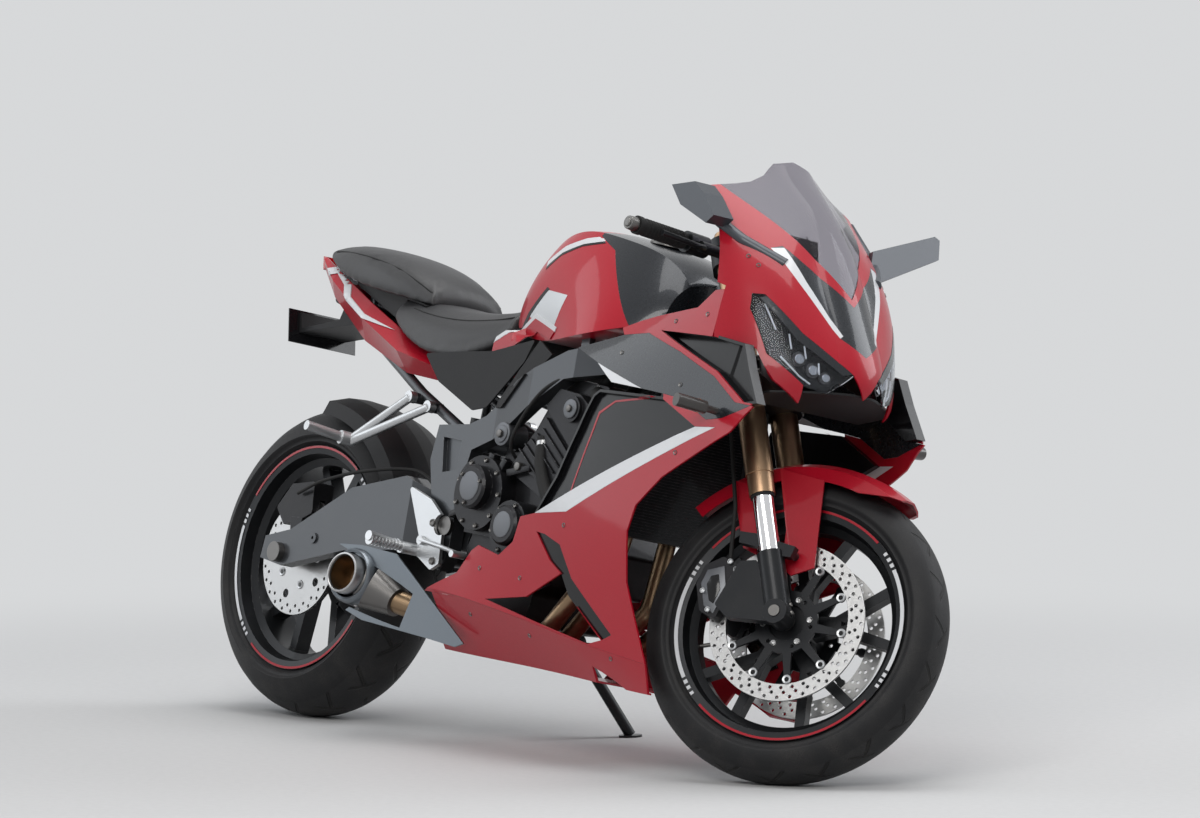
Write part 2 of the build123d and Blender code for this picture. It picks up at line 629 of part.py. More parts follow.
SHIELD = [
    (0, 326), (38, 343), (96, 346), (188, 338), (282, 269), (400, 182), (378, 173), (312, 181),
    (126, 199), (80, 214), (104, 234), (163, 240), (182, 264), (150, 302), (84, 324), (34, 316),
]
SHIELD_PLANE = Plane(origin=(268, -224, 0), x_dir=(0.982, 0.19, 0), z_dir=(0.19, -0.982, 0))
with BuildPart() as shield:
    with BuildSketch(SHIELD_PLANE):
        Polygon(*SHIELD, align=None)
    extrude(amount=4)
    with BuildSketch(Plane(origin=CAN_FRONT - can_way * 60, z_dir=can_way)):
        Circle(54 + SEAT)
    extrude(amount=260, mode=Mode.SUBTRACT)
    add(bar((575, -76, 214), tuple(CAN_FRONT + can_way * 10), 24 + SEAT), mode=Mode.SUBTRACT)
keep("silencer_shield", shield.part.solids().sort_by(SortBy.VOLUME)[-1], "chassis")

# Swingarm: a gull-shaped right leg, a left leg threaded through the chain's loop
RIGHT_LEG = [
    (574, 445), (520, 448), (379, 498), (208, 462), (28, 364), (-52, 345), (-58, 300), (14, 289),
    (215, 335), (420, 352), (574, 368),
]
RIGHT_PLAN = [
    (574, -70), (574, -114), (450, -114), (400, -142), (-60, -142), (-60, -112), (180, -112), (330, -102),
    (450, -64),
]
LEFT_LEG = [
    (574, 437), (430, 428), (250, 402), (28, 352), (-52, 342), (-58, 298), (14, 289), (215, 328),
    (420, 360), (574, 374),
]
LEFT_PLAN = [
    (574, 60), (574, 88), (430, 90), (300, 142), (-60, 142), (-60, 121), (230, 121), (345, 100), (420, 62),
]


def leg(side, plan):
    """One leg of the swingarm: its side outline met by its plan outline."""
    with BuildPart() as made:
        with BuildSketch(Plane.XZ.offset(-200)):
            Polygon(*side, align=None)
        extrude(amount=400)
        with BuildSketch(Plane.XY.offset(250)):
            Polygon(*plan, align=None)
        extrude(amount=300, mode=Mode.INTERSECT)
    return made.part


with BuildPart() as swingarm:
    add(leg(RIGHT_LEG, RIGHT_PLAN))
    add(leg(LEFT_LEG, LEFT_PLAN))
    add(side_slab([(470, 432), (470, 362), (372, 360), (352, 380), (360, 470), (400, 474)], -110, 88))
    add(across(PIVOT[0], PIVOT[1], 34, -114, 88))
    add(across(110, 352, 11, -146, -130))
    add(across(110, 336, 11, 130, 146))
    add(across(110, 352, BOBBIN_R, -146, -128), mode=Mode.SUBTRACT)
    add(across(110, 336, BOBBIN_R, 128, 146), mode=Mode.SUBTRACT)
    add(across(0, REAR_TYRE_R, AXLE_R, -160, 160), mode=Mode.SUBTRACT)
    add(across(PIVOT[0], PIVOT[1], 12, -160, 160), mode=Mode.SUBTRACT)
keep("swingarm", swingarm.part, "chassis")
with BuildPart() as swing_pivot:
    add(across(PIVOT[0], PIVOT[1], 11.7, -158, 158))
    add(across(PIVOT[0], PIVOT[1], 19, -158, -150.3))
    add(across(PIVOT[0], PIVOT[1], 19, 150.3, 158))
with BuildPart() as rear_axle:
    add(across(0, REAR_TYRE_R, AXLE_R - SEAT, -156, 156))
    add(across(0, REAR_TYRE_R, 20, -156, -142.3))
    add(across(0, REAR_TYRE_R, 20, 142.3, 156))
    add(across(0, REAR_TYRE_R, 16, -111.7, -93))
keep("rear_axles", Compound(children=[swing_pivot.part.solid(), rear_axle.part.solid()]), "chassis")

with BuildPart() as shock:
    add(bar((414, 0, 636), (406, 0, 500), 28))
    add(bar((417, 0, 688.5), (404.5, 0, 475.2), 9))
keep("shock", shock.part, "chassis")

# Rear calliper astride its disc
with BuildPart() as rear_calliper:
    add(side_slab([(-74, 408), (-34, 458), (38, 468), (46, 404), (8, 386), (-42, 374)], -110, -60, 6))
    add(side_slab([(-20, 392), (20, 392), (10, 345), (-10, 345)], -111.7, -96))
    add(
        across(0, REAR_TYRE_R, REAR_DISC_R + DISC_GAP, REAR_DISC_Y - 7.5, REAR_DISC_Y + 7.5),
        mode=Mode.SUBTRACT,
    )
    add(across(0, REAR_TYRE_R, 30, -200, 0), mode=Mode.SUBTRACT)
keep("rear_calliper", rear_calliper.part, "chassis")

# Hugger over the front upper quarter of the rear tyre
HUGGER_R = REAR_TYRE_R + 12
with BuildPart() as hugger:
    with BuildSketch(Plane.XY):
        with BuildLine():
            Polyline(
                (HUGGER_R - 34, -99), (HUGGER_R - 6, -88), (HUGGER_R + 8, -40), (HUGGER_R + 11, 0),
                (HUGGER_R + 8, 40), (HUGGER_R - 6, 88), (HUGGER_R - 34, 93),
                (HUGGER_R - 34, 90), (HUGGER_R - 9, 84), (HUGGER_R + 4, 38), (HUGGER_R + 7, 0),
                (HUGGER_R + 4, -38), (HUGGER_R - 9, -84), (HUGGER_R - 34, -96), close=True,
            )
        make_face()
    revolve(axis=Axis.Y, revolution_arc=61)
hugger_piece = hugger.part.rotate(Axis.Y, -88).moved(at_rear)
chain_guard = side_slab([(60, 452), (380, 476), (448, 476), (448, 466), (60, 438)], 96, 122)
hugger_lug = side_slab([(240, 440), (276, 450), (276, 476), (252, 486)], -112, -92)
hugger_piece = hugger_piece + chain_guard + hugger_lug + across(264, 460, 6, 88, 98) - swingarm.part
hugger_piece = hugger_piece.solids().sort_by(SortBy.VOLUME)[-1]
keep("hugger", hugger_piece, "chassis")

# Fairing sides: one shell of arcs along the machine, cut into panels
# columns: x; half widths at top, shoulder, waist, crease, bottom; heights of top, crease, bottom
FAIRING_ROWS = (
    (500, 138, 180, 196, 176, 100, 850, 282, 172),
    (760, 150, 196, 214, 203, 118, 850, 262, 160),
    (1020, 176, 224, 238, 205, 150, 852, 222, 148),
    (1260, 198, 226, 240, 206, 188, 900, 190, 134),
    (1520, 196, 216, 222, 196, 186, 940, 190, 134),
)
SHOULDER_Z, WAIST_Z = 745, 620


def fairing_body(inset):
    """The right half of the fairing as a solid, drawn inwards by the inset."""
    with BuildPart() as made:
        for x, top, shoulder, waist, crease, bottom, top_z, crease_z, bottom_z in FAIRING_ROWS:
            low = bottom_z + inset
            with BuildSketch(Plane.YZ.offset(x)):
                with BuildLine():
                    middle = (inset - waist, WAIST_Z)
                    ThreePointArc((inset - top, top_z), (inset - shoulder, SHOULDER_Z), middle)
                    ThreePointArc(middle, (inset - waist + 3, 450), (inset - crease, crease_z))
                    Line((inset - crease, crease_z), (inset - bottom, low))
                    Line((inset - bottom, low), (0, low))
                    Line((0, low), (0, top_z))
                    Line((0, top_z), (inset - top, top_z))
                make_face()
        loft()
    return made.part


def grown_slab(outline, inner, outer, grow):
    """A prism across the machine whose outline is drawn in or out."""
    with BuildPart() as made:
        with BuildSketch(Plane.XZ.offset(-inner)):
            Polygon(*outline, align=None)
            if grow:
                offset(amount=grow, kind=Kind.INTERSECTION)
        extrude(amount=inner - outer)
    return made.part


# Panel outlines as seen from the side, (x, z)
CREASE_LINE = [(1288, 188), (1119, 208), (944, 236), (683, 270), (546, 274)]
SIDE_OUTLINE = [
    (663, 316), (702, 362), (724, 374), (798, 359), (842, 388), (858, 438), (905, 447), (1348, 643),
    (1243, 689), (1240, 699.5), (1291, 693.5), (1372, 658.5), (1413, 664.5), (1483, 693.5), (1490, 692),
    (1473, 676), (1443, 640), (1283, 541), (1222, 483), (1206, 432), (1219, 336), *CREASE_LINE,
]
OPENING = [(773, 272), (905, 286), (1014, 338), (1040, 300), (1150, 222), (1108, 212), (944, 240)]
BLADE = [
    (921, 412), (950, 409), (1003, 392), (1050, 330), (1182, 234), (1152, 222), (1040, 300), (1014, 338),
    (975, 360),
]
STRIPE = [(905, 447), (1348, 643), (1402, 646), (1012, 456)]
SMALL_STRIPE = [(1014, 749), (1177, 705), (1081, 712)]
RECESS = [(905, 447), (960, 520), (1036, 683), (1049, 692), (1243, 689), (1348, 643)]
SHOULDER = [
    (925, 776), (1059, 808), (1139, 815), (1254, 783), (1365, 742), (1438, 697), (1483, 693.5),
    (1413, 664.5), (1372, 658.5), (1291, 693.5), (1240, 699.5), (1177, 705), (1014, 749),
]
SCOOP = [(1174, 822), (1331, 818), (1418, 806), (1444, 762), (1485, 703), (1460, 699), (1368, 753)]
UPPER = [
    (1040, 822), (1090, 838), (1136, 849), (1263, 872), (1302, 908), (1330, 911), (1331, 818),
    (1174, 822), (1368, 753), (1460, 699), (1483, 698), (1483, 693.5), (1438, 697), (1365, 742),
    (1254, 783), (1139, 815), (1059, 808),
]
BELLY = [*CREASE_LINE, (546, 100), (1297, 100)]

WHEEL_ROOM = Box(600, 364, 560, align=(Align.MIN, Align.CENTER, Align.MIN)).moved(Location((1104, 0, 90)))
FAIRING = {inset: fairing_body(inset) for inset in (0, SKIN, SKIN + SEAT, 8, 14, 17, 24, 27)}
fairing_skin = FAIRING[0] - FAIRING[SKIN] - WHEEL_ROOM


def panel(skin, outline, holes=()):
    """A panel of the right-hand skin inside an outline, less its holes."""
    piece = skin & grown_slab(outline, -320, -20, -SEAT / 2)
    for hole in holes:
        piece = piece - grown_slab(hole, -320, -20, SEAT / 2)
    return piece


def tray(outline, floor_top, floor_low):
    """A sunk panel: walls behind the skin's edge and a floor further in."""
    block = (FAIRING[SKIN + SEAT] - FAIRING[floor_low]) & grown_slab(outline, -320, -20, 5)
    hollow = (FAIRING[0] - FAIRING[floor_top]) & grown_slab(outline, -320, -20, -0.5)
    return block - hollow


side_panel = panel(fairing_skin, SIDE_OUTLINE, (OPENING, BLADE, STRIPE))
upper_panel = panel(fairing_skin, UPPER)
shoulder_panel = panel(fairing_skin, SHOULDER)
blade_panel = (FAIRING[SKIN + SEAT] - FAIRING[8]) & grown_slab(BLADE, -320, -20, 3)
vent_tray = tray(RECESS, 14, 17) - WHEEL_ROOM
scoop_tray = tray(SCOOP, 24, 27)
keep("side_fairings", both_sides(side_panel), "chassis")
keep("upper_fairings", both_sides(upper_panel), "chassis")
keep("vent_panels", both_sides(vent_tray), "chassis")
keep("shoulder_panels", both_sides(shoulder_panel), "chassis")
keep("vent_blades", both_sides(blade_panel), "chassis")
belly_half = fairing_skin & grown_slab(BELLY, -320, 0, -SEAT / 2)
belly = belly_half + mirror(belly_half, about=Plane.XZ)
belly = belly - Box(260, 200, 240, align=(Align.MIN, Align.MIN, Align.MIN)).moved(Location((520, 88, 90)))
belly = belly - bar((620, -76, 214), tuple(CAN_FRONT), 32)
belly = belly - side_slab([(556, 182), (556, 238), (750, 238), (750, 182)], -112, 66)
belly = belly - side_slab([(540, 225), (540, 300), (576, 300), (576, 225)], -220, -140)
keep("belly_pan", belly, "chassis")

# Indicators on short stalks from the shoulder panels
with BuildPart() as indicator:
    add(bar((1394, -222, 676), (1388, -252, 679), 7))
    add(bar((1389, -250, 679), (1376, -312, 684), 13))
indicator_piece = indicator.part - FAIRING[0]
keep("indicators", both_sides(indicator_piece), "chassis")

# Nose: horizontal outlines stacked upwards, cut into cowl, lamps, centre and screen
# columns: height; rear x and half width; middle x and y; front x at y = 55; tip x
NOSE_ROWS = (
    (700, 1370, 205, 1440, 160, 1488, 1500),
    (765, 1350, 210, 1455, 150, 1531, 1549),
    (850, 1326, 211, 1434, 155, 1498, 1517),
    (935, 1306, 204, 1396, 155, 1444, 1462),
    (1040, 1262, 190, 1324, 135, 1368, 1388),
    (1196, 1090, 158, 1184, 103, 1209, 1221),
)


def nose_body(inset):
    """The nose as a solid, drawn inwards by the inset."""
    with BuildPart() as made:
        for z, rear_x, rear_y, mid_x, mid_y, front_x, tip_x in NOSE_ROWS:
            with BuildSketch(Plane.XY.offset(z)):
                with BuildLine():
                    behind = 5 * inset
                    flare = 0.6 * behind * (rear_y - mid_y) / (mid_x - rear_x)
                    back = (rear_x - behind, inset - rear_y - flare)
                    front = (front_x - inset, -55)
                    middle = (mid_x - inset * 0.75, inset * 0.75 - mid_y)
                    ThreePointArc(back, middle, front)
                    ThreePointArc(front, (tip_x - inset, 0), (front[0], 55))
                    ThreePointArc((front[0], 55), (middle[0], -middle[1]), (back[0], -back[1]))
                    Line((back[0], -back[1]), back)
                make_face()
        loft()
    return made.part


def cross_slab(outline):
    """A prism along the machine with a (y, z) outline."""
    with BuildPart() as made:
        with BuildSketch(Plane.YZ.offset(1120)):
            Polygon(*outline, align=None)
        extrude(amount=480)
    return made.part


def whole(right_half):
    """An outline closed with its mirror image, from points on the right that start and end at y = 0."""
    return [*right_half, *[(-y, z) for y, z in reversed(right_half) if y]]


# Outlines as seen from the front, (y, z)
SCREEN_TOP = [(-158, 1116), (-128, 1124), (-100, 1133), (-72, 1150), (-44, 1178), (0, 1189)]
SCREEN_FRONT = whole([(0, 932), (-80, 1027), (-150, 1106), *SCREEN_TOP])
CENTRE_FRONT = whole([(0, 918), (-84, 986), (-112, 1012), (-134, 1004), (-104, 946), (-46, 852), (0, 824)])
STRIPE_FRONT = [(-110, 1009), (-134, 1004), (-104, 946), (-46, 852), (-40, 858), (-88, 950)]
LAMP_FRONT = [
    (-30, 786), (-112, 849), (-162, 912), (-178, 910), (-182, 880), (-163, 800), (-110, 752), (-72, 742),
]
NOSE_UNDER = whole([
    (-264, 640), (-264, 800), (-178, 800), (-150, 752), (-108, 717), (-110, 752), (-72, 742), (-30, 786),
    (0, 744),
])
NOSE_OVER = whole([(-264, 1260), (-264, 1109), (-182, 1109), *SCREEN_TOP])
NOSE_BELOW = [
    (1090, 925), (1300, 925), (1330.3, 918), (1331, 819), (1418, 806), (1440, 770), (1450, 690),
    (1090, 690),
]
nose_skin = nose_body(0) - nose_body(SKIN)
lamp_left = [(-y, z) for y, z in LAMP_FRONT]
stripe_left = [(-y, z) for y, z in STRIPE_FRONT]
cowl = nose_skin - side_slab(NOSE_BELOW, -320, 320) - cross_slab(NOSE_UNDER) - cross_slab(NOSE_OVER)
for outline in (SCREEN_FRONT, CENTRE_FRONT, LAMP_FRONT, lamp_left):
    cowl = cowl - cross_slab(outline)
cowl = cowl.solids().sort_by(SortBy.VOLUME)[-1]
keep("nose_cowl", cowl, "chassis")
scoop_tray = (scoop_tray - nose_skin).solids().sort_by(SortBy.VOLUME)[-1]
keep("scoops", both_sides(scoop_tray), "chassis")
centre = nose_skin & cross_slab(CENTRE_FRONT)
nose_stripes = []
for outline in (STRIPE_FRONT, stripe_left):
    nose_stripes.append((nose_skin & cross_slab(outline)).solids().sort_by(SortBy.VOLUME)[-1])
    centre = centre - cross_slab(outline)
keep("nose_centre", centre.solids().sort_by(SortBy.VOLUME)[-1], "chassis")
side_stripes = both_sides(panel(fairing_skin, STRIPE)).solids()
small_stripes = both_sides(panel(fairing_skin, SMALL_STRIPE)).solids()
keep("stripes", Compound(children=[*side_stripes, *small_stripes, *nose_stripes]), "chassis")
screen = nose_skin & cross_slab(SCREEN_FRONT)
keep("screen", screen.solids().sort_by(SortBy.VOLUME)[-1], "chassis")
lamp_right = (nose_skin & cross_slab(LAMP_FRONT)).solids().sort_by(SortBy.VOLUME)[-1]
keep("headlights", Compound(children=[lamp_right, mirror(lamp_right, about=Plane.XZ)]), "chassis")

# Undertray and bracket inside the nose, and the instruments they carry
nose_inside = nose_body(SKIN + SEAT)
undertray = side_slab([(1366, 712), (1540, 748), (1540, 752), (1366, 716)], -150, 150) & nose_inside
with BuildPart() as cowl_stay:
    add(side_slab([(1166, 856), (1362, 856), (1362, 880), (1160, 880)], -20, 20))
    add(side_slab([(1346, 856), (1362, 856), (1362, 880), (1346, 880)], -230, 230))
    add(side_slab([(1258, 878), (1282, 878), (1262, 950), (1246, 950)], -20, 20))
    add(side_slab([(1370, 715), (1384, 718), (1362, 860), (1348, 860)], -12, 12))
stay_room = nose_inside + side_slab([(1100, 800), (1345, 800), (1345, 960), (1100, 960)], -40, 40)
stay_piece = cowl_stay.part & stay_room
stay_piece = stay_piece - STEM_ROOM - frame.part
keep("cowl_stay", stay_piece + undertray, "chassis")
with BuildPart() as instruments:
    add(side_slab([(1238, 950.3), (1272, 950.3), (1240, 1050), (1216, 1046)], -82, 82, 6))
keep("instruments", instruments.part, "chassis")

# Wing mirrors on long bases that hug the nose: the right one folded back, the left one out
MIRROR_RUN = ((1390, -116, 977), (1317, -168, 1011), (1262, -189, 1042), (1206, -181, 1094))
MIRROR_BLOCK = [(1163, 1099), (1230, 1108), (1259, 1088), (1302, 1046), (1282, 1030), (1198, 1062)]
base_piece = (tube(MIRROR_RUN, 11, 25) - nose_body(0)).solids().sort_by(SortBy.VOLUME)[-1]
folded = side_slab(MIRROR_BLOCK, -236, -186)
with BuildPart() as wing:
    with BuildSketch(Plane(origin=(1326, 0, 996), x_dir=(0, 1, 0), z_dir=(-0.927, 0, -0.375))):
        Polygon((168, -58), (152, 2), (172, 8), (342, -74), (350, -116), (338, -122), align=None)
    extrude(amount=12)
right_mirror = base_piece + folded
left_mirror = mirror(base_piece, about=Plane.XZ) + wing.part
mirror_pieces = []
for piece in (right_mirror, left_mirror):
    mirror_pieces.append((piece - nose_body(0)).solids().sort_by(SortBy.VOLUME)[-1])
keep("mirrors", Compound(children=mirror_pieces), "chassis")

# Tank, its dark front cover and the filler
# columns: x, flat half width on top, height of top, widest half width and height, bottom half width and height
TANK_ROWS = (
    (588, 44, 930, 84, 874, 92, 834),
    (640, 66, 994, 108, 914, 116, 802),
    (760, 84, 1027, 134, 922, 150, 790),
    (880, 90, 1014, 146, 905, 186, 800),
    (985, 76, 988, 122, 905, 158, 826),
    (1046, 52, 936, 88, 895, 104, 846),
)


def tank_body(grow):
    """The tank as a solid of rounded sections along the machine."""
    with BuildPart() as made:
        for x, top, top_z, wide, wide_z, low, low_z in TANK_ROWS:
            with BuildSketch(Plane.YZ.offset(x)):
                with BuildLine():
                    ThreePointArc((-top, top_z - 8), (0, top_z + grow), (top, top_z - 8))
                    ThreePointArc((top, top_z - 8), (wide + grow, wide_z), (low, low_z))
                    Line((low, low_z), (-low, low_z))
                    ThreePointArc((-low, low_z), (-wide - grow, wide_z), (-top, top_z - 8))
                make_face()
        loft()
    return made.part


tank = tank_body(0)
COVER_SIDE = [(800, 1060), (800, 1010), (866, 982), (1000, 830), (1200, 830), (1200, 1060)]
keep("tank", tank - grown_slab(COVER_SIDE, -260, 260, SEAT), "chassis")
keep("tank_cover", tank & grown_slab(COVER_SIDE, -260, 260, 0), "chassis")

# Seats
# columns: x; half width and height on top; half width and height below
RIDER_ROWS = (
    (587, 84, 858, 110, 792), (450, 98, 842, 142, 742), (320, 100, 850, 140, 762), (206, 78, 866, 108, 812),
)
PILLION_ROWS = (
    (298, 66, 892, 92, 846), (180, 90, 936, 112, 862), (40, 86, 958, 104, 884), (-118, 38, 962, 50, 933),
)
SEAT_BASE_ROWS = (
    (300, 100, 850, 90, 768), (180, 90, 892, 82, 815), (40, 78, 912, 70, 868), (-60, 56, 925, 48, 893),
    (-110, 34, 940, 30, 918),
)


def cushion(rows, ruled=False):
    """A seat cushion with a crowned top through sections along the machine."""
    with BuildPart() as made:
        for x, top, top_z, low, low_z in rows:
            with BuildSketch(Plane.YZ.offset(x)):
                with BuildLine():
                    ThreePointArc((-top, top_z - 10), (0, top_z), (top, top_z - 10))
                    ThreePointArc((top, top_z - 10), (low - 2, (top_z + low_z) / 2), (low, low_z))
                    Line((low, low_z), (-low, low_z))
                    ThreePointArc((-low, low_z), (2 - low, (top_z + low_z) / 2), (-top, top_z - 10))
                make_face()
        loft(ruled=ruled)
    return made.part


rider_cushion = (cushion(RIDER_ROWS) - cushion(PILLION_ROWS)).solids().sort_by(SortBy.VOLUME)[-1]
keep("rider_seat", rider_cushion, "chassis")
keep("pillion_seat", cushion(PILLION_ROWS), "chassis")

# Rests that carry the tank, the seats and the side covers
with BuildPart() as rests:
    for side in (1, -1):
        tank_rest = side_slab([(868, 762), (892, 766), (892, 812), (868, 812)], 138, 152)
        add(tank_rest if side > 0 else mirror(tank_rest, about=Plane.XZ))
        add(bar((330, 88 * side, 730), (330, 88 * side, 800), 10))
        add(bar((60, 56 * side, 815), (60, 56 * side, 915), 8))
        add(across(500, 690, 8, min(100 * side, 146.7 * side), max(100 * side, 146.7 * side)))
rests_piece = rests.part - tank - pieces["rider_seat"][0] - pieces["pillion_seat"][0]
frame_piece = frame.part + subframe.part + rests_piece
keep("frame", frame_piece, "chassis")

# Tail cowl: a tapering wedge under the pillion seat
# columns: x; half width at top and bottom, half width at the edge; top and bottom height
TAIL_ROWS = (
    (452, 120, 144, 720, 690), (271, 104, 140, 774, 706), (100, 92, 112, 842, 764), (-60, 66, 80, 905, 850),
    (-146, 40, 46, 934, 912),
)
with BuildPart() as tail_cowl:
    for x, inner, outer, top_z, low_z in TAIL_ROWS:
        with BuildSketch(Plane.YZ.offset(x)):
            edge_z = (top_z + low_z) / 2 + 6
            Polygon(*whole([(-inner, top_z), (-outer, edge_z), (-inner, low_z)]), align=None)
    loft(ruled=True)
with BuildPart() as tail_hollow:
    for x, inner, outer, top_z, low_z in TAIL_ROWS:
        with BuildSketch(Plane.YZ.offset(x)):
            edge_z = (top_z + low_z) / 2 + 6
            left_half = [(4 - inner, top_z + 1), (5 - outer, edge_z), (4 - inner, low_z + 4)]
            Polygon(*whole(left_half), align=None)
    loft(ruled=True)
tail = tail_cowl.part - tail_hollow.part - frame_piece
tail = tail - Box(220, 190, 200).moved(Location((350, 0, 730)))
keep("tail_cowl", Compound(children=tail.solids()), "chassis")

with BuildPart() as plate_holder:
    holder = [
        (-30, 831), (60, 785), (60, 776), (10, 798), (-120, 780), (-168, 772), (-178, 812), (-172, 814),
        (-163, 782), (-118, 790), (-40, 806),
    ]
    add(side_slab(holder, -60, 60))
keep("plate_holder", plate_holder.part, "chassis")
number_plate = side_slab([(-179.9, 818), (-162.9, 750), (-164.9, 749.5), (-181.9, 817.5)], -87, 87)
keep("number_plate", number_plate, "chassis")
tail_light = side_slab([(-160, 936), (-146.3, 935), (-146.3, 912), (-154, 908)], -38, 38)
keep("tail_light", tail_light, "chassis")

COVER_LINE = [
    (382, 744), (470, 752), (596, 760), (722, 790), (700, 745), (604, 648), (560, 640), (440, 690),
]
side_cover = side_slab(COVER_LINE, -151, -147, 4)
seat_base = cushion(SEAT_BASE_ROWS, ruled=True) - frame_piece - tail_cowl.part
seat_base = seat_base - rider_cushion - pieces["pillion_seat"][0]
seat_bases = [solid for solid in seat_base.solids() if solid.volume > 20000]
keep("side_covers", Compound(children=[*both_sides(side_cover).solids(), *seat_bases]), "chassis")

# Hangers and pegs
with BuildPart() as rider_hanger:
    hanger = [(426, 478), (503, 455), (552, 420), (560, 330), (536, 316), (480, 344), (486, 376)]
    add(side_slab(hanger, -168, -160, 5))
    add(across(522, 409, 10, -160, -150.3))
    add(across(540, 334, 10, -160, -150.3))
    add(across(PIVOT[0], PIVOT[1], 21, -170, -150), mode=Mode.SUBTRACT)
    add(bar((478, -160, 352), (478, -205, 352), 12))
    add(bar((478, -200, 354), (482, -290, 362), 10))
with BuildPart() as pillion_hanger:
    add(bar((333, -133, 654), (226, -178, 556), 9))
    add(bar((398, -133, 638), (226, -178, 552), 9))
    add(across(333, 656, 12, -138, -122.3))
    add(across(398, 640, 12, -138, -122.3))
    add(bar((222, -170, 554), (216, -200, 556), 14))
    add(bar((216, -198, 556), (206, -280, 566), 10))
hangers = [*both_sides(rider_hanger.part).solids(), *both_sides(pillion_hanger.part).solids()]
keep("footrests", Compound(children=hangers), "chassis")

with BuildPart() as brake_pedal:
    add(across(500, 372, 9, -178, -168.3))
    add(tube([(500, -174, 372), (580, -176, 362), (664, -192, 350)], 4.5, 60))
    add(across(664, 350, 7, -222, -190))
with BuildPart() as gear_lever:
    add(across(500, 372, 9, 168.3, 178))
    add(tube([(500, 174, 372), (580, 176, 352), (650, 184, 346)], 4.5, 60))
    add(across(650, 346, 8, 182, 214))
pedals = [brake_pedal.part.solid(), gear_lever.part.solid()]
keep("foot_controls", Compound(children=pedals), "chassis")

# Side stand on the left
STAND_PIVOT = Vector(640, 142, 225)
STAND_FOOT = Vector(698, 274, 66)
STAND_AXIS = Vector(0, 0.8, 0.6)
UP_PARKED = Vector(0, math.sin(math.radians(LEAN)) * -1, math.cos(math.radians(LEAN)))
with BuildPart() as side_stand:
    add(bar(tuple(STAND_PIVOT), tuple(STAND_FOOT), 11))
    with BuildSketch(Plane(origin=STAND_PIVOT - STAND_AXIS * 13, z_dir=STAND_AXIS)):
        Circle(20)
    extrude(amount=26)
    with BuildSketch(Plane(origin=STAND_PIVOT - STAND_AXIS * 30, z_dir=STAND_AXIS)):
        Circle(8 + SEAT)
    extrude(amount=60, mode=Mode.SUBTRACT)
    with BuildSketch(Plane(origin=STAND_FOOT, z_dir=UP_PARKED)):
        Ellipse(26, 18)
    extrude(amount=-4.4)
keep("side_stand", side_stand.part, "side_stand")

# Parked pose: steering on its left stop, the machine leaned onto its stand
PITCH = 0.345
LIFT = 1.9
PITCHED = Location((0, 0, 0), (0, PITCH, 0))
LEANED = Location((0, 0, 0), (-LEAN, 0, 0))
DOWN_TO_FLOOR = Location((0, 0, LIFT)) * PITCHED * LEANED
TO_CENTRE = Location((-BODY_CENTRE_X, -BODY_CENTRE_Y, 0))
parked = {}
for name, (part, body) in pieces.items():
    solids = part.solids()
    if body in ("steering", "front_wheel"):
        solids = [solid.rotate(STEER_AXIS, STEER_STOP) for solid in solids]
    solids = [solid.moved(TO_CENTRE * DOWN_TO_FLOOR) for solid in solids]
    parked[name] = Compound(children=solids) if len(solids) > 1 else solids[0]

os.makedirs("parts", exist_ok=True)
for name, part in parked.items():
    part.label = name
    export_step(part, f"parts/{name}.step")
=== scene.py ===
import logging
import math
from dataclasses import dataclass, field
from enum import Enum

import bmesh
import bpy
from mathutils import Matrix, Vector


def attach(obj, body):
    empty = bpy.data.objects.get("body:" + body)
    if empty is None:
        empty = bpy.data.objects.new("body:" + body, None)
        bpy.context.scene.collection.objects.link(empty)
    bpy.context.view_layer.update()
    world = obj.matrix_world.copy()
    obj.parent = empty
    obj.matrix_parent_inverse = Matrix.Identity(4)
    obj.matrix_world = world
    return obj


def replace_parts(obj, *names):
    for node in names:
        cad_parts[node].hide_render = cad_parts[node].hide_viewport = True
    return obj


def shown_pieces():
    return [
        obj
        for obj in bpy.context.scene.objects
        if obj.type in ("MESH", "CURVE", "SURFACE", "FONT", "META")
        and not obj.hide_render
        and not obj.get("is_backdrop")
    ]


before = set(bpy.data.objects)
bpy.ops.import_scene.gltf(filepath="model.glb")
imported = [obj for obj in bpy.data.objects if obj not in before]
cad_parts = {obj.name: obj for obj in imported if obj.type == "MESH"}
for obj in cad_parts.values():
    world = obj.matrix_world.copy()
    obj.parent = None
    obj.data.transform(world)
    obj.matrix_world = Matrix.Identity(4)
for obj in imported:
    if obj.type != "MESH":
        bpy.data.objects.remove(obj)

log = logging.getLogger("scene")
MM = 0.001
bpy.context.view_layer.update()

Point = tuple[float, float, float]
Place = Vector | Point
Outline = tuple[tuple[float, float], ...]
Source = bpy.types.NodeSocket | float | tuple[float, ...]


class Body(Enum):
    """The moving bodies of the machine, by their names in the frame."""

    CHASSIS = "chassis"
    STEERING = "steering"
    FRONT_WHEEL = "front_wheel"
    REAR_WHEEL = "rear_wheel"
    SIDE_STAND = "side_stand"


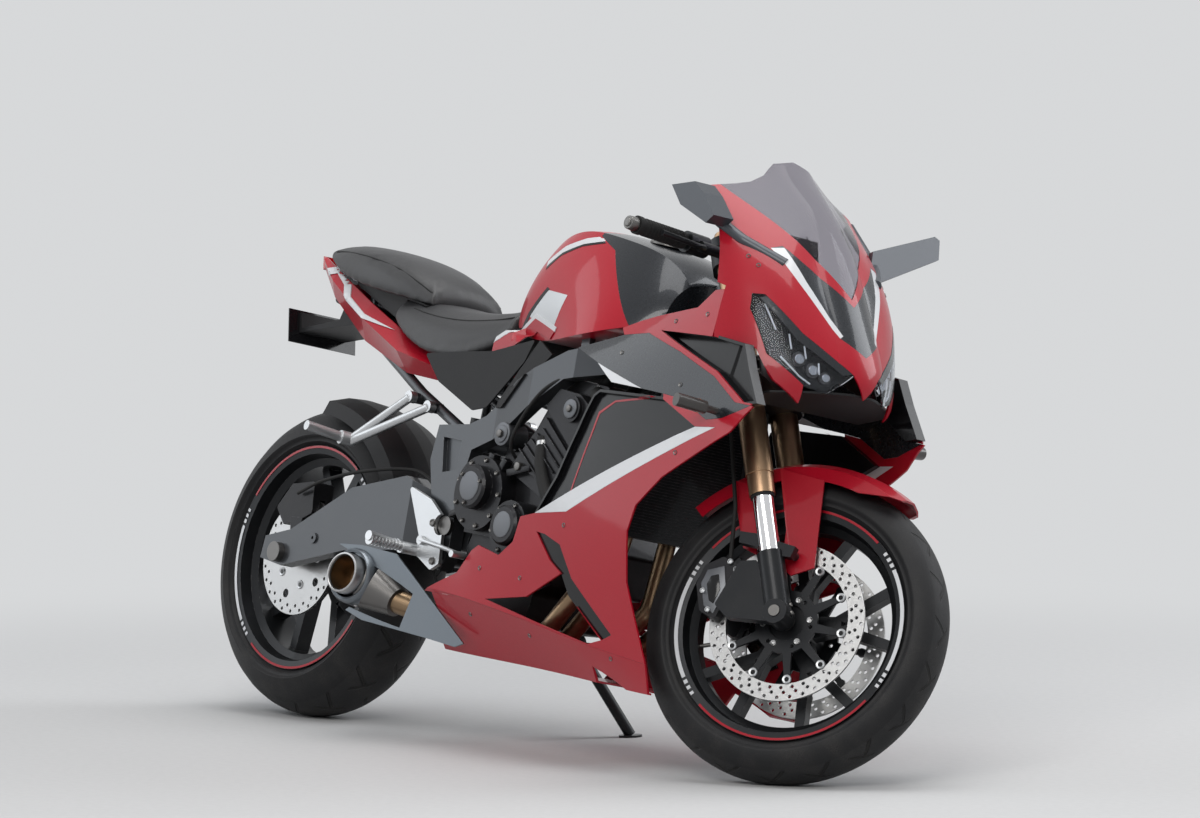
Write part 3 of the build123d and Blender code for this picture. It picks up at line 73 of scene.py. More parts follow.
@dataclass(frozen=True)
class Parking:
    """Sizes that place the upright, straight-ahead machine in its parked pose, in mm and degrees.

    Args:
        wheelbase: distance between the axles.
        rake: how far the steering axis leans back.
        trail: how far the front tyre touches the road behind the steering axis.
        lean: how far the machine leans onto its stand.
        pitch: how far its nose dips.
        lift: how far it stands over the road's plane before it leans.
        steer: how far the steering is turned.
        centre: (x, y) of the parked machine that becomes the frame's middle.
        front_radius: radius of the front tyre.
        rear_radius: radius of the rear tyre.
    """

    wheelbase: float = 1450.0
    rake: float = 25.5
    trail: float = 101.0
    lean: float = 12.2
    pitch: float = 0.345
    lift: float = 1.9
    steer: float = 29.4
    centre: tuple[float, float] = (704.5, 182.7)
    front_radius: float = 300.0
    rear_radius: float = 315.0

    @property
    def front_axle(self) -> Vector:
        """Centre of the front wheel."""
        return Vector((self.wheelbase, 0, self.front_radius)) * MM

    @property
    def rear_axle(self) -> Vector:
        """Centre of the rear wheel."""
        return Vector((0, 0, self.rear_radius)) * MM

    def fork(self) -> Matrix:
        """Axes of the fork: X ahead of it, Y left, Z up it, from the front axle."""
        turn = Matrix.Rotation(-math.radians(self.rake), 4, "Y")
        return Matrix.Translation(self.front_axle) @ turn

    def matrix(self, body: Body) -> Matrix:
        """Matrix from the upright machine's axes to the parked pose.

        Args:
            body: the body that the piece moves with.

        Returns:
            The matrix for that body's pieces.
        """
        out = (
            Matrix.Translation((-self.centre[0] * MM, -self.centre[1] * MM, self.lift * MM))
            @ Matrix.Rotation(math.radians(self.pitch), 4, "Y")
            @ Matrix.Rotation(-math.radians(self.lean), 4, "X")
        )
        if body in (Body.STEERING, Body.FRONT_WHEEL):
            rake = math.radians(self.rake)
            offset = self.front_radius * math.sin(rake) - self.trail * math.cos(rake)
            ahead = Vector((math.cos(rake), 0, math.sin(rake)))
            up = Vector((-math.sin(rake), 0, math.cos(rake)))
            base = self.front_axle - ahead * offset * MM
            turn = Matrix.Rotation(math.radians(self.steer), 4, up)
            out = out @ Matrix.Translation(base) @ turn @ Matrix.Translation(-base)
        return out


PARKING = Parking()


class Graph:
    """A shader node tree with short ways to add and join nodes.

    Args:
        tree: the node tree that is filled.
    """

    def __init__(self, tree: bpy.types.NodeTree) -> None:
        """Keep the tree."""
        self.tree = tree

    def feed(self, socket: bpy.types.NodeSocket, value: Source) -> None:
        """Join an input to another node's output, or give it a constant.

        Args:
            socket: the input.
            value: an output socket, or the value that the input keeps.
        """
        if isinstance(value, bpy.types.NodeSocket):
            self.tree.links.new(value, socket)
        else:
            socket.default_value = value

    def node(
        self, kind: str, inputs: dict[str | int, Source] | None = None, **settings: object,
    ) -> bpy.types.Node:
        """Add a node.

        Args:
            kind: the node's type.
            inputs: values or sockets by input name or index.
            **settings: plain attributes of the node.

        Returns:
            The new node.
        """
        made = self.tree.nodes.new(kind)
        for key, value in settings.items():
            setattr(made, key, value)
        for key, value in (inputs or {}).items():
            self.feed(made.inputs[key], value)
        return made

    def math(
        self, operation: str, first: Source, second: Source = 0.0, clamp: bool = False,
    ) -> bpy.types.NodeSocket:
        """Result socket of a maths node."""
        made = self.node("ShaderNodeMath", {0: first, 1: second}, operation=operation, use_clamp=clamp)
        return made.outputs[0]

    def vector(
        self, operation: str, first: Source, second: Source = (0.0, 0.0, 0.0), out: int = 0,
    ) -> bpy.types.NodeSocket:
        """Result socket of a vector maths node."""
        made = self.node("ShaderNodeVectorMath", {0: first, 1: second}, operation=operation)
        return made.outputs[out]

    def ramp(self, value: Source, low: float, high: float) -> bpy.types.NodeSocket:
        """The value stretched so that low gives 0 and high gives 1."""
        made = self.node("ShaderNodeMapRange", {"Value": value, "From Min": low, "From Max": high})
        return made.outputs[0]

    def mix(self, factor: Source, first: Source, second: Source) -> bpy.types.NodeSocket:
        """Colour socket between two colours."""
        made = self.node("ShaderNodeMix", {0: factor, 6: first, 7: second}, data_type="RGBA")
        return made.outputs[2]


def new_material(name: str) -> tuple[bpy.types.Material, Graph]:
    """An empty material and its graph.

    Args:
        name: name of the material.

    Returns:
        The material and its graph.
    """
    made = bpy.data.materials.new(name)
    made.use_nodes = True
    made.node_tree.nodes.clear()
    return made, Graph(made.node_tree)


class Effects:
    """Shared shader node groups, each built once."""

    def __init__(self) -> None:
        """Build every group."""
        self.grain = self._grain()
        self.edges = self._edges()
        self.dust = self._dust()
        self.streaks = self._streaks()
        self.tread = self._tread()
        self.vinyl = self._vinyl()

    @staticmethod
    def _group(
        name: str, takes: dict[str, float | tuple[float, ...]], gives: dict[str, str],
    ) -> tuple[Graph, dict[str, bpy.types.NodeSocket], bpy.types.Node]:
        """Start a node group.

        Args:
            name: name of the group.
            takes: its inputs, with their values.
            gives: its outputs, with their kinds of socket.

        Returns:
            The group's graph, the sockets that its inputs arrive at, and its output node.
        """
        tree = bpy.data.node_groups.new(name, "ShaderNodeTree")
        for key, value in takes.items():
            kind = "NodeSocketVector" if isinstance(value, tuple) else "NodeSocketFloat"
            socket = tree.interface.new_socket(name=key, in_out="INPUT", socket_type=kind)
            socket.default_value = value
            if isinstance(value, tuple):
                socket.hide_value = True
        for key, kind in gives.items():
            tree.interface.new_socket(name=key, in_out="OUTPUT", socket_type=kind)
        graph = Graph(tree)
        start = graph.node("NodeGroupInput")
        end = graph.node("NodeGroupOutput")
        return graph, {key: start.outputs[key] for key in takes}, end

    def _grain(self) -> bpy.types.NodeTree:
        """Fine grain of a cast, moulded or painted surface.

        Returns:
            The node group.
        """
        graph, takes, end = self._group(
            "grain", {"Scale": 200.0, "Height": 0.1, "Normal": (0.0, 0.0, 0.0)},
            {"Value": "NodeSocketFloat", "Normal": "NodeSocketVector"},
        )
        place = graph.node("ShaderNodeTexCoord").outputs["Object"]
        noise = graph.node("ShaderNodeTexNoise", {"Vector": place, "Scale": takes["Scale"], "Detail": 4.0})
        bump = graph.node(
            "ShaderNodeBump",
            {"Strength": takes["Height"], "Distance": 0.001, "Height": noise.outputs[0],
             "Normal": takes["Normal"]},
        )
        graph.feed(end.inputs["Value"], noise.outputs[0])
        graph.feed(end.inputs["Normal"], bump.outputs[0])
        return graph.tree

    def _edges(self) -> bpy.types.NodeTree:
        """Softly rounded edges and a mask of where they are worn.

        Returns:
            The node group.
        """
        graph, takes, end = self._group(
            "edges", {"Width": 0.001, "Wear": 0.3},
            {"Mask": "NodeSocketFloat", "Normal": "NodeSocketVector"},
        )
        bevel = graph.node("ShaderNodeBevel", {"Radius": takes["Width"]}, samples=4)
        true = graph.node("ShaderNodeNewGeometry").outputs["Normal"]
        flat = graph.vector("DOT_PRODUCT", bevel.outputs[0], true, out=1)
        edge = graph.ramp(flat, 0.985, 0.90)
        place = graph.node("ShaderNodeTexCoord").outputs["Object"]
        patch = graph.node("ShaderNodeTexNoise", {"Vector": place, "Scale": 90.0, "Detail": 5.0}).outputs[0]
        worn = graph.math("MULTIPLY", edge, graph.ramp(patch, 0.5, 0.62))
        graph.feed(end.inputs["Mask"], graph.math("MULTIPLY", worn, takes["Wear"], True))
        graph.feed(end.inputs["Normal"], bevel.outputs[0])
        return graph.tree

    def _dust(self) -> bpy.types.NodeTree:
        """Road dust in patches, more of it low on the machine.

        Returns:
            The node group.
        """
        graph, takes, end = self._group("dust", {"Amount": 0.2}, {"Mask": "NodeSocketFloat"})
        place = graph.node("ShaderNodeTexCoord").outputs["Object"]
        split = graph.node("ShaderNodeSeparateXYZ", {0: place})
        low = graph.ramp(split.outputs[2], 0.55, 0.05)
        patch = graph.node("ShaderNodeTexNoise", {"Vector": place, "Scale": 22.0, "Detail": 8.0}).outputs[0]
        fine = graph.node("ShaderNodeTexNoise", {"Vector": place, "Scale": 600.0, "Detail": 2.0}).outputs[0]
        both = graph.math("MULTIPLY", graph.ramp(patch, 0.42, 0.72), graph.ramp(fine, 0.35, 0.75))
        total = graph.math("MULTIPLY", both, graph.math("ADD", low, 0.25))
        graph.feed(end.inputs["Mask"], graph.math("MULTIPLY", total, takes["Amount"], True))
        return graph.tree

    def _streaks(self) -> bpy.types.NodeTree:
        """Fine lines of a turned or brushed metal.

        Returns:
            The node group.
        """
        graph, takes, end = self._group(
            "streaks", {"Scale": 8.0, "Height": 0.1, "Normal": (0.0, 0.0, 0.0)},
            {"Value": "NodeSocketFloat", "Normal": "NodeSocketVector"},
        )
        place = graph.node("ShaderNodeTexCoord").outputs["Object"]
        long = graph.vector("MULTIPLY", place, (12.0, 260.0, 260.0))
        noise = graph.node("ShaderNodeTexNoise", {"Vector": long, "Scale": takes["Scale"], "Detail": 2.0})
        bump = graph.node(
            "ShaderNodeBump",
            {"Strength": takes["Height"], "Distance": 0.0005, "Height": noise.outputs[0],
             "Normal": takes["Normal"]},
        )
        graph.feed(end.inputs["Value"], noise.outputs[0])
        graph.feed(end.inputs["Normal"], bump.outputs[0])
        return graph.tree

    def _tread(self) -> bpy.types.NodeTree:
        """Slanted grooves on the crown of a road tyre, from the tyre's own UV map.

        Returns:
            The node group.
        """
        graph, takes, end = self._group(
            "tread", {"Count": 18.0, "Slant": 1.1},
            {"Groove": "NodeSocketFloat", "Side": "NodeSocketFloat"},
        )
        place = graph.node("ShaderNodeUVMap", uv_map="round").outputs[0]
        split = graph.node("ShaderNodeSeparateXYZ", {0: place})
        along = graph.math("MULTIPLY", split.outputs[0], takes["Count"])
        side = graph.math("SUBTRACT", split.outputs[1], 0.5)
        out = graph.math("MULTIPLY", graph.math("ABSOLUTE", side), 2.0)
        half = graph.math("MULTIPLY", graph.math("SIGN", side), 0.25)
        # shift round the tyre, where a groove starts and ends across it, width, lean
        grooves = ((0.0, 0.06, 0.46, 0.070, 1.0), (0.42, 0.22, 0.64, 0.060, -0.7))
        masks = []
        for shift, low, high, width, lean in grooves:
            slant = graph.math("MULTIPLY", graph.math("MULTIPLY", out, takes["Slant"]), lean)
            turn = graph.math("ADD", graph.math("ADD", graph.math("ADD", along, half), shift), slant)
            near = graph.math("ABSOLUTE", graph.math("SUBTRACT", graph.math("FRACT", turn), 0.5))
            line = graph.ramp(near, width, width * 0.6)
            begun, ended = graph.ramp(out, low, low + 0.03), graph.ramp(out, high, high - 0.03)
            masks.append(graph.math("MULTIPLY", line, graph.math("MULTIPLY", begun, ended)))
        groove = graph.math("MAXIMUM", masks[0], masks[1])
        graph.feed(end.inputs["Groove"], groove)
        graph.feed(end.inputs["Side"], graph.ramp(out, 0.62, 0.66))
        return graph.tree

    def _vinyl(self) -> bpy.types.NodeTree:
        """Pebbled grain of a seat covering.

        Returns:
            The node group.
        """
        graph, takes, end = self._group(
            "vinyl", {"Scale": 700.0, "Height": 0.4},
            {"Value": "NodeSocketFloat", "Normal": "NodeSocketVector"},
        )
        place = graph.node("ShaderNodeTexCoord").outputs["Object"]
        cells = graph.node("ShaderNodeTexVoronoi", {"Vector": place, "Scale": takes["Scale"]}, feature="F1")
        bump = graph.node(
            "ShaderNodeBump", {"Strength": takes["Height"], "Distance": 0.0006, "Height": cells.outputs[0]}
        )
        graph.feed(end.inputs["Value"], cells.outputs[0])
        graph.feed(end.inputs["Normal"], bump.outputs[0])
        return graph.tree


EFFECTS = Effects()


@dataclass(frozen=True)
class Finish:
    """One procedural surface finish.

    Args:
        name: name of the material.
        slot: the record's material slot.
        colour: base colour, linear.
        metallic: 0 or 1.
        rough: roughness.
        coat: clear coat weight.
        grain: scale of the grain, and its height.
        wear: how far edges are worn.
        worn: the colour that shows there.
        dust: how much road dust lies on it.
        vary: how far the roughness follows the grain.
        streak: height of brushed lines.
        clear: transmission of glass.
        glow: strength of its own light.
        flake: how much bright flake is in a paint.
        width: radius of its rounded edges, in metres.
        gloss: specular level under any clear coat.
    """

    name: str
    slot: str
    colour: tuple[float, float, float]
    metallic: float = 0.0
    rough: float = 0.4
    coat: float = 0.0
    grain: tuple[float, float] = (300.0, 0.05)
    wear: float = 0.0
    worn: tuple[float, float, float] = (0.4, 0.4, 0.4)
    dust: float = 0.25
    vary: float = 0.12
    streak: float = 0.0
    clear: float = 0.0
    glow: float = 0.0
    flake: float = 0.0
    width: float = 0.0008
    gloss: float = 0.5

    def build(self) -> bpy.types.Material:
        """Make the material.

        Returns:
            The material.
        """
        made, graph = new_material(self.name)
        rims = {"Width": self.width, "Wear": self.wear}
        edges = graph.node("ShaderNodeGroup", rims, node_tree=EFFECTS.edges)
        scale, height = (8.0, self.streak) if self.streak else self.grain
        grain = graph.node(
            "ShaderNodeGroup", {"Scale": scale, "Height": height, "Normal": edges.outputs["Normal"]},
            node_tree=EFFECTS.streaks if self.streak else EFFECTS.grain,
        )
        dust = graph.node("ShaderNodeGroup", {"Amount": self.dust}, node_tree=EFFECTS.dust)
        colour = (*self.colour, 1.0)
        if self.flake:
            place = graph.node("ShaderNodeTexCoord").outputs["Object"]
            flakes = graph.node("ShaderNodeTexVoronoi", {"Vector": place, "Scale": 2600.0}).outputs["Color"]
            spark = graph.ramp(graph.node("ShaderNodeSeparateColor", {0: flakes}).outputs[0], 0.55, 1.0)
            bright = tuple(min(1.0, c * 2.2 + 0.01) for c in self.colour) + (1.0,)
            colour = graph.mix(graph.math("MULTIPLY", spark, self.flake), colour, bright)
        colour = graph.mix(edges.outputs["Mask"], colour, (*self.worn, 1.0))
        colour = graph.mix(dust.outputs["Mask"], colour, (0.26, 0.24, 0.21, 1.0))
        swing = graph.math("MULTIPLY", graph.math("SUBTRACT", grain.outputs["Value"], 0.5), self.vary)
        dull = graph.math("MULTIPLY", dust.outputs["Mask"], 0.4)
        rough = graph.math("ADD", graph.math("ADD", swing, self.rough), dull, True)
        shader = graph.node(
            "ShaderNodeBsdfPrincipled",
            {"Base Color": colour, "Metallic": self.metallic, "Roughness": rough, "Coat Weight": self.coat,
             "Coat Roughness": 0.06, "Specular IOR Level": self.gloss, "Normal": grain.outputs["Normal"]},
        )
        if self.clear:
            graph.feed(shader.inputs["Transmission Weight"], self.clear)
            graph.feed(shader.inputs["IOR"], 1.12)
        if self.glow:
            graph.feed(shader.inputs["Emission Color"], (*self.colour, 1.0))
            graph.feed(shader.inputs["Emission Strength"], self.glow)
        out = graph.node("ShaderNodeOutputMaterial")
        graph.feed(out.inputs[0], shader.outputs[0])
        return made


@dataclass(frozen=True)
class TyreFinish:
    """Road tyre rubber: slanted grooves on the crown and a smoother wall.

    Args:
        name: name of the material.
        count: grooves round the tyre.
        slot: the record's material slot.
    """

    name: str
    count: float
    slot: str = "tyre"

    def build(self) -> bpy.types.Material:
        """Make the material.

        Returns:
            The material.
        """
        made, graph = new_material(self.name)
        tread = graph.node("ShaderNodeGroup", {"Count": self.count, "Slant": 1.1}, node_tree=EFFECTS.tread)
        dust = graph.node("ShaderNodeGroup", {"Amount": 0.5}, node_tree=EFFECTS.dust)
        place = graph.node("ShaderNodeTexCoord").outputs["Object"]
        noise = graph.node("ShaderNodeTexNoise", {"Vector": place, "Scale": 420.0, "Detail": 5.0}).outputs[0]
        cut = graph.node(
            "ShaderNodeBump",
            {"Strength": 1.0, "Distance": 0.004,
             "Height": graph.math("SUBTRACT", 1.0, tread.outputs["Groove"])},
        )
        skin = graph.node(
            "ShaderNodeBump",
            {"Strength": 0.3, "Distance": 0.0006, "Height": noise, "Normal": cut.outputs[0]},
        )
        crown = graph.mix(tread.outputs["Side"], (0.013, 0.013, 0.014, 1.0), (0.008, 0.008, 0.009, 1.0))
        # the grooves are darker than the rubber round them: painted shade in the tread grooves
        colour = graph.mix(tread.outputs["Groove"], crown, (0.004, 0.004, 0.004, 1.0))
        grey = graph.math("MULTIPLY", dust.outputs["Mask"], 0.22)
        colour = graph.mix(grey, colour, (0.20, 0.18, 0.16, 1.0))
        shader = graph.node(
            "ShaderNodeBsdfPrincipled",
            {"Base Color": colour, "Roughness": graph.ramp(noise, -1.2, 1.6), "Specular IOR Level": 0.3,
             "Normal": skin.outputs[0]},
        )
        out = graph.node("ShaderNodeOutputMaterial")
        graph.feed(out.inputs[0], shader.outputs[0])
        return made


@dataclass(frozen=True)
class SeatFinish:
    """Pebbled seat vinyl.

    Args:
        name: name of the material.
        slot: the record's material slot.
    """

    name: str = "seat_vinyl"
    slot: str = "vinyl"

    def build(self) -> bpy.types.Material:
        """Make the material.

        Returns:
            The material.
        """
        made, graph = new_material(self.name)
        vinyl = graph.node("ShaderNodeGroup", {"Scale": 650.0, "Height": 0.35}, node_tree=EFFECTS.vinyl)
        colour = graph.mix(vinyl.outputs["Value"], (0.016, 0.016, 0.017, 1.0), (0.034, 0.034, 0.036, 1.0))
        shader = graph.node(
            "ShaderNodeBsdfPrincipled",
            {"Base Color": colour, "Roughness": 0.46, "Normal": vinyl.outputs["Normal"]},
        )
        out = graph.node("ShaderNodeOutputMaterial")
        graph.feed(out.inputs[0], shader.outputs[0])
        return made


FINISHES = (
    Finish("red_paint", "red_paint", (0.34, 0.001, 0.012), 0.0, 0.36, 0.45, (140, 0.01), dust=0.03,
           flake=0.3, gloss=0.2),
    Finish("dark_paint", "dark_paint", (0.016, 0.018, 0.022), 0.4, 0.28, 0.5, (160, 0.01), dust=0.03,
           flake=0.05, gloss=0.3),
    Finish("white_paint", "white_paint", (0.62, 0.63, 0.65), 0.0, 0.36, 0.6, (200, 0.01), dust=0.08),
    Finish("frame_paint", "frame_paint", (0.014, 0.015, 0.017), 0.5, 0.38, 0.1, (420, 0.12), wear=0.4,
           dust=0.06, gloss=0.3),
    Finish("engine_metal", "engine_metal", (0.014, 0.014, 0.016), 0.6, 0.40, 0.1, (520, 0.25), wear=0.5,
           dust=0.10, gloss=0.3),
    Finish("cast_grey", "engine_metal", (0.13, 0.135, 0.145), 0.9, 0.44, 0.0, (420, 0.22), wear=0.5,
           dust=0.15),
    Finish("frame_grey", "frame_paint", (0.058, 0.062, 0.068), 0.8, 0.38, 0.3, (420, 0.10), wear=0.4,
           dust=0.08),
    Finish("shield_grey", "dark_paint", (0.16, 0.18, 0.20), 0.9, 0.36, 0.2, (300, 0.04), wear=0.3,
           dust=0.1),
    Finish("silver", "silver", (0.52, 0.53, 0.54), 1.0, 0.38, 0.0, (500, 0.12), wear=0.4,
           worn=(0.8, 0.8, 0.8), dust=0.1),
    Finish("steel", "steel", (0.44, 0.44, 0.44), 1.0, 0.32, streak=0.25, wear=0.3, worn=(0.7, 0.7, 0.7),
           dust=0.12),
    Finish("dark_steel", "steel", (0.15, 0.145, 0.14), 1.0, 0.36, streak=0.2, wear=0.4,
           worn=(0.5, 0.5, 0.5), dust=0.12),
    Finish("chrome", "chrome", (0.82, 0.82, 0.83), 1.0, 0.09, grain=(120, 0.01), dust=0.05, vary=0.04),
    Finish("gold", "gold", (0.40, 0.26, 0.16), 1.0, 0.36, grain=(600, 0.06), dust=0.08),
    Finish("header_metal", "header_metal", (0.26, 0.18, 0.11), 1.0, 0.36, grain=(60, 0.05), dust=0.2,
           vary=0.35),
    Finish("rubber", "rubber", (0.010, 0.010, 0.010), 0.0, 0.7, grain=(900, 0.3), dust=0.08, gloss=0.3),
    Finish("black_plastic", "black_plastic", (0.011, 0.011, 0.012), 0.0, 0.52, grain=(900, 0.22), wear=0.1,
           worn=(0.05, 0.05, 0.05), dust=0.06, gloss=0.25),
    Finish("panel_black", "black_plastic", (0.005, 0.005, 0.006), 0.0, 0.22, 0.12, (90, 0.01), dust=0.02,
           gloss=0.2),
    # black plastic mirror housings lifted to a lighter blue-grey: a painted reflection of the light on them
    Finish("mirror_painted_sheen", "black_plastic", (0.040, 0.046, 0.056), 0.3, 0.40, 0.2, (700, 0.10), dust=0.04),
    Finish("gloss_black", "gloss_black", (0.005, 0.005, 0.006), 0.0, 0.16, 0.25, (90, 0.01), dust=0.03,
           gloss=0.25),
    Finish("smoked", "smoked", (0.38, 0.36, 0.40), 0.0, 0.05, 0.0, (60, 0.0), dust=0.02, clear=0.97,
           width=0.0004),
    Finish("lamp_glass", "clear", (0.60, 0.62, 0.66), 0.0, 0.03, 0.0, (60, 0.0), dust=0.02, clear=0.98,
           width=0.0004),
    Finish("amber", "amber", (0.45, 0.12, 0.015), 0.0, 0.12, 0.5, (60, 0.0), clear=0.3, dust=0.05),
    Finish("amber_dark", "amber", (0.030, 0.026, 0.024), 0.0, 0.30, 0.3, (60, 0.0), dust=0.05),
    Finish("red_lens", "red_lens", (0.42, 0.005, 0.006), 0.0, 0.12, 0.6, (60, 0.0), dust=0.05),
    Finish("mirror_glass", "chrome", (0.86, 0.88, 0.9), 1.0, 0.02, grain=(60, 0.0), dust=0.03, vary=0.0),
    Finish("lamp_white", "chrome", (0.9, 0.92, 0.95), 0.0, 0.25, dust=0.0, glow=0.25),
    Finish("display", "gloss_black", (0.02, 0.03, 0.05), 0.0, 0.08, 0.8, (60, 0.0), dust=0.02),
    TyreFinish("front_rubber", 20.0),
    TyreFinish("rear_rubber", 18.0),
    SeatFinish(),
)


class Palette:
    """The built materials by name."""

    def __init__(self) -> None:
        """Build every material."""
        self.rows = {finish.name: (finish.build(), finish.slot) for finish in FINISHES}

    def dress(self, obj: bpy.types.Object, name: str) -> bpy.types.Object:
        """Give an object one finish.

        Args:
            obj: the object.
            name: name of the finish.

        Returns:
            The same object.
        """
        material, slot = self.rows[name]
        obj.data.materials.clear()
        obj.data.materials.append(material)
        return obj


PALETTE = Palette()


class View(Enum):
    """The side that a line of sight comes from."""

    SIDE = "side"
    FRONT = "front"


def heading(angle: float) -> Vector:
    """Direction at an angle in degrees, from ahead upwards."""
    return Vector((math.cos(math.radians(angle)), 0, math.sin(math.radians(angle))))


def surface(
    node: str, across: float, z: float, side: int, view: View = View.SIDE, body: Body = Body.CHASSIS,
) -> tuple[Vector, Vector] | None:
    """Where a line of sight meets a frame node.

    Args:
        node: name of the node.
        across: x for a side view, and the distance from the middle for a front view, in mm.
        z: height, in mm.
        side: 1 for the left side and -1 for the right.
        view: where the line comes from.
        body: the body whose straight-ahead axes the point is given in.

    Returns:
        The point in mm and the outward normal, or None.
    """
    place = PARKING.matrix(body)
    if view is View.SIDE:
        start, way = Vector((across, 420 * side, z)), Vector((0, -side, 0))
    else:
        start, way = Vector((1750, across * side, z)), Vector((-1, 0, 0))
    start = place @ (start * MM)
    way = place.to_3x3() @ way
    found, at, normal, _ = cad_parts[node].ray_cast(start, way)
    if not found:
        return None
    back = place.inverted()
    return (back @ at) / MM, (back.to_3x3() @ normal).normalized()


def joined_verts(
    mesh: bmesh.types.BMesh, spots: list[Vector], close: bool = True,
) -> tuple[list[bmesh.types.BMVert], list[bmesh.types.BMEdge]]:
    """Vertices at some spots, joined in turn by edges.

    Args:
        mesh: the mesh that they are made in.
        spots: the places, in metres.
        close: whether the last joins the first.

    Returns:
        The vertices and the edges.
    """
    verts = [bmesh.ops.create_vert(mesh, co=spot)["vert"][0] for spot in spots]
    edges = []
    for a, b in zip(verts, verts[1:] + verts[:1] if close else verts[1:]):
        edges += bmesh.ops.contextual_create(mesh, geom=[a, b])["edges"]
    return verts, edges


@dataclass
class Piece:
    """A mesh built in the upright machine's axes, in millimetres, then placed on its body.

    Args:
        name: name of the object.
        body: the body that it rides on.
        finish: name of its finish.
        mesh: the mesh that is being built.
    """

    name: str
    body: Body
    finish: str
    mesh: bmesh.types.BMesh = field(default_factory=bmesh.new)

    @staticmethod
    def toward(start: Place, way: Place) -> Matrix:
        """Matrix whose Z lies along a direction, from a start point in mm."""
        turn = Vector(way).to_track_quat("Z", "Y").to_matrix().to_4x4()
        return Matrix.Translation(Vector(start) * MM) @ turn

    def rod(
        self, start: Place, end: Place, radius: float, tip: float | None = None, sides: int = 20,
    ) -> None:
        """A round bar or cone between two points.

        Args:
            start: middle of its first end, in mm.
            end: middle of its other end, in mm.
            radius: radius of its first end, in mm.
            tip: radius of its other end, if that differs.
            sides: facets round it.
        """
        start, end = Vector(start), Vector(end)
        way = end - start
        place = self.toward((start + end) / 2, way)
        bmesh.ops.create_cone(
            self.mesh, cap_ends=True, segments=sides, radius1=radius * MM,
            radius2=(radius if tip is None else tip) * MM, depth=way.length * MM, matrix=place,
        )

    def bolt(self, at: Place, way: Place, radius: float = 6.0, height: float = 4.0) -> None:
        """A socket-head bolt: a tapered round head with a socket sunk in it.

        Args:
            at: middle of its foot, in mm.
            way: direction that it stands in.
            radius: radius of the head, in mm.
            height: height of the head, in mm.
        """
        taper, rim, sunk = 0.86, 0.42, 0.6
        at, way = Vector(at), Vector(way).normalized()
        made = bmesh.ops.create_cone(
            self.mesh, cap_ends=True, segments=18, radius1=radius * MM, radius2=radius * taper * MM,
            depth=height * MM, matrix=self.toward(at + way * height / 2, way),
        )
        caps = [f for f in {f for v in made["verts"] for f in v.link_faces} if len(f.verts) > 6]
        cap = max(caps, key=lambda f: f.calc_center_median().dot(way))
        bmesh.ops.inset_region(self.mesh, faces=[cap], thickness=radius * rim * MM, depth=0)
        bmesh.ops.translate(self.mesh, verts=cap.verts, vec=-way * height * sunk * MM)

    def box(self, centre: Place, size: Place, turn: Matrix | None = None) -> None:
        """A block about a centre point.

        Args:
            centre: its middle, in mm.
            size: its three sizes, in mm.
            turn: how it is turned about its middle.
        """
        place = Matrix.Translation(Vector(centre) * MM) @ (turn or Matrix.Identity(4))
        scale = Matrix.Diagonal((*(Vector(size) * MM), 1))
        bmesh.ops.create_cube(self.mesh, size=1.0, matrix=place @ scale)

    def plate(self, outline: Outline, plane: Matrix, thick: float) -> None:
        """A flat plate.

        Args:
            outline: its corners in the XY plane of the plane's axes, in mm.
            plane: the plane's axes, in metres.
            thick: how far it grows along the plane's Z, in mm.
        """
        spots = [plane @ Vector((x * MM, y * MM, 0)) for x, y in outline]
        _, edges = joined_verts(self.mesh, spots)
        face = bmesh.ops.edgeloop_fill(self.mesh, edges=edges)["faces"]
        grown = bmesh.ops.extrude_face_region(self.mesh, geom=face, use_keep_orig=True)["geom"]
        moved = [v for v in grown if isinstance(v, bmesh.types.BMVert)]
        bmesh.ops.translate(self.mesh, verts=moved, vec=plane.to_3x3() @ Vector((0, 0, thick * MM)))

    def side_plate(self, outline: Outline, y: float, thick: float) -> None:
        """A plate with an outline seen from the side, from y towards the right by its thickness."""
        plane = Matrix(((1, 0, 0, 0), (0, 0, -1, y * MM), (0, 1, 0, 0), (0, 0, 0, 1)))
        self.plate(outline, plane, thick)

    def turned(
        self, profile: Outline, centre: Vector, steps: int = 96, start: float = 0.0, sweep: float = 360.0,
        close: bool = True,
    ) -> None:
        """A body of revolution about an axis across the machine.

        Args:
            profile: (radius, across) points in mm.
            centre: point on the axis, in metres.
            steps: facets round it.
            start: first angle from ahead, upwards, in degrees.
            sweep: how far it goes round, in degrees.
            close: whether the profile's ends join.
        """
        first = Matrix.Rotation(-math.radians(start), 4, "Y")
        spots = [centre + first @ Vector((radius * MM, across * MM, 0)) for radius, across in profile]
        verts, edges = joined_verts(self.mesh, spots, close)
        bmesh.ops.spin(
            self.mesh, geom=verts + edges, cent=centre, axis=(0, 1, 0), angle=-math.radians(sweep),
            steps=steps, use_merge=sweep >= 360, use_duplicate=False,
        )

    def _map_round(self, centre: Vector, half: float) -> None:
        """Give the piece a UV map round a wheel's axle.

        Args:
            centre: centre of the wheel, in metres.
            half: half width of the tyre, in mm.
        """
        layer = self.mesh.loops.layers.uv.new("round")
        for face in self.mesh.faces:
            mid = face.calc_center_median() - centre
            base = math.atan2(mid.z, mid.x)
            for loop in face.loops:
                spot = loop.vert.co - centre
                turn = math.atan2(spot.z, spot.x)
                turn += 2 * math.pi * round((base - turn) / (2 * math.pi))
                loop[layer].uv = (turn / (2 * math.pi), 0.5 + spot.y / (2 * half * MM))

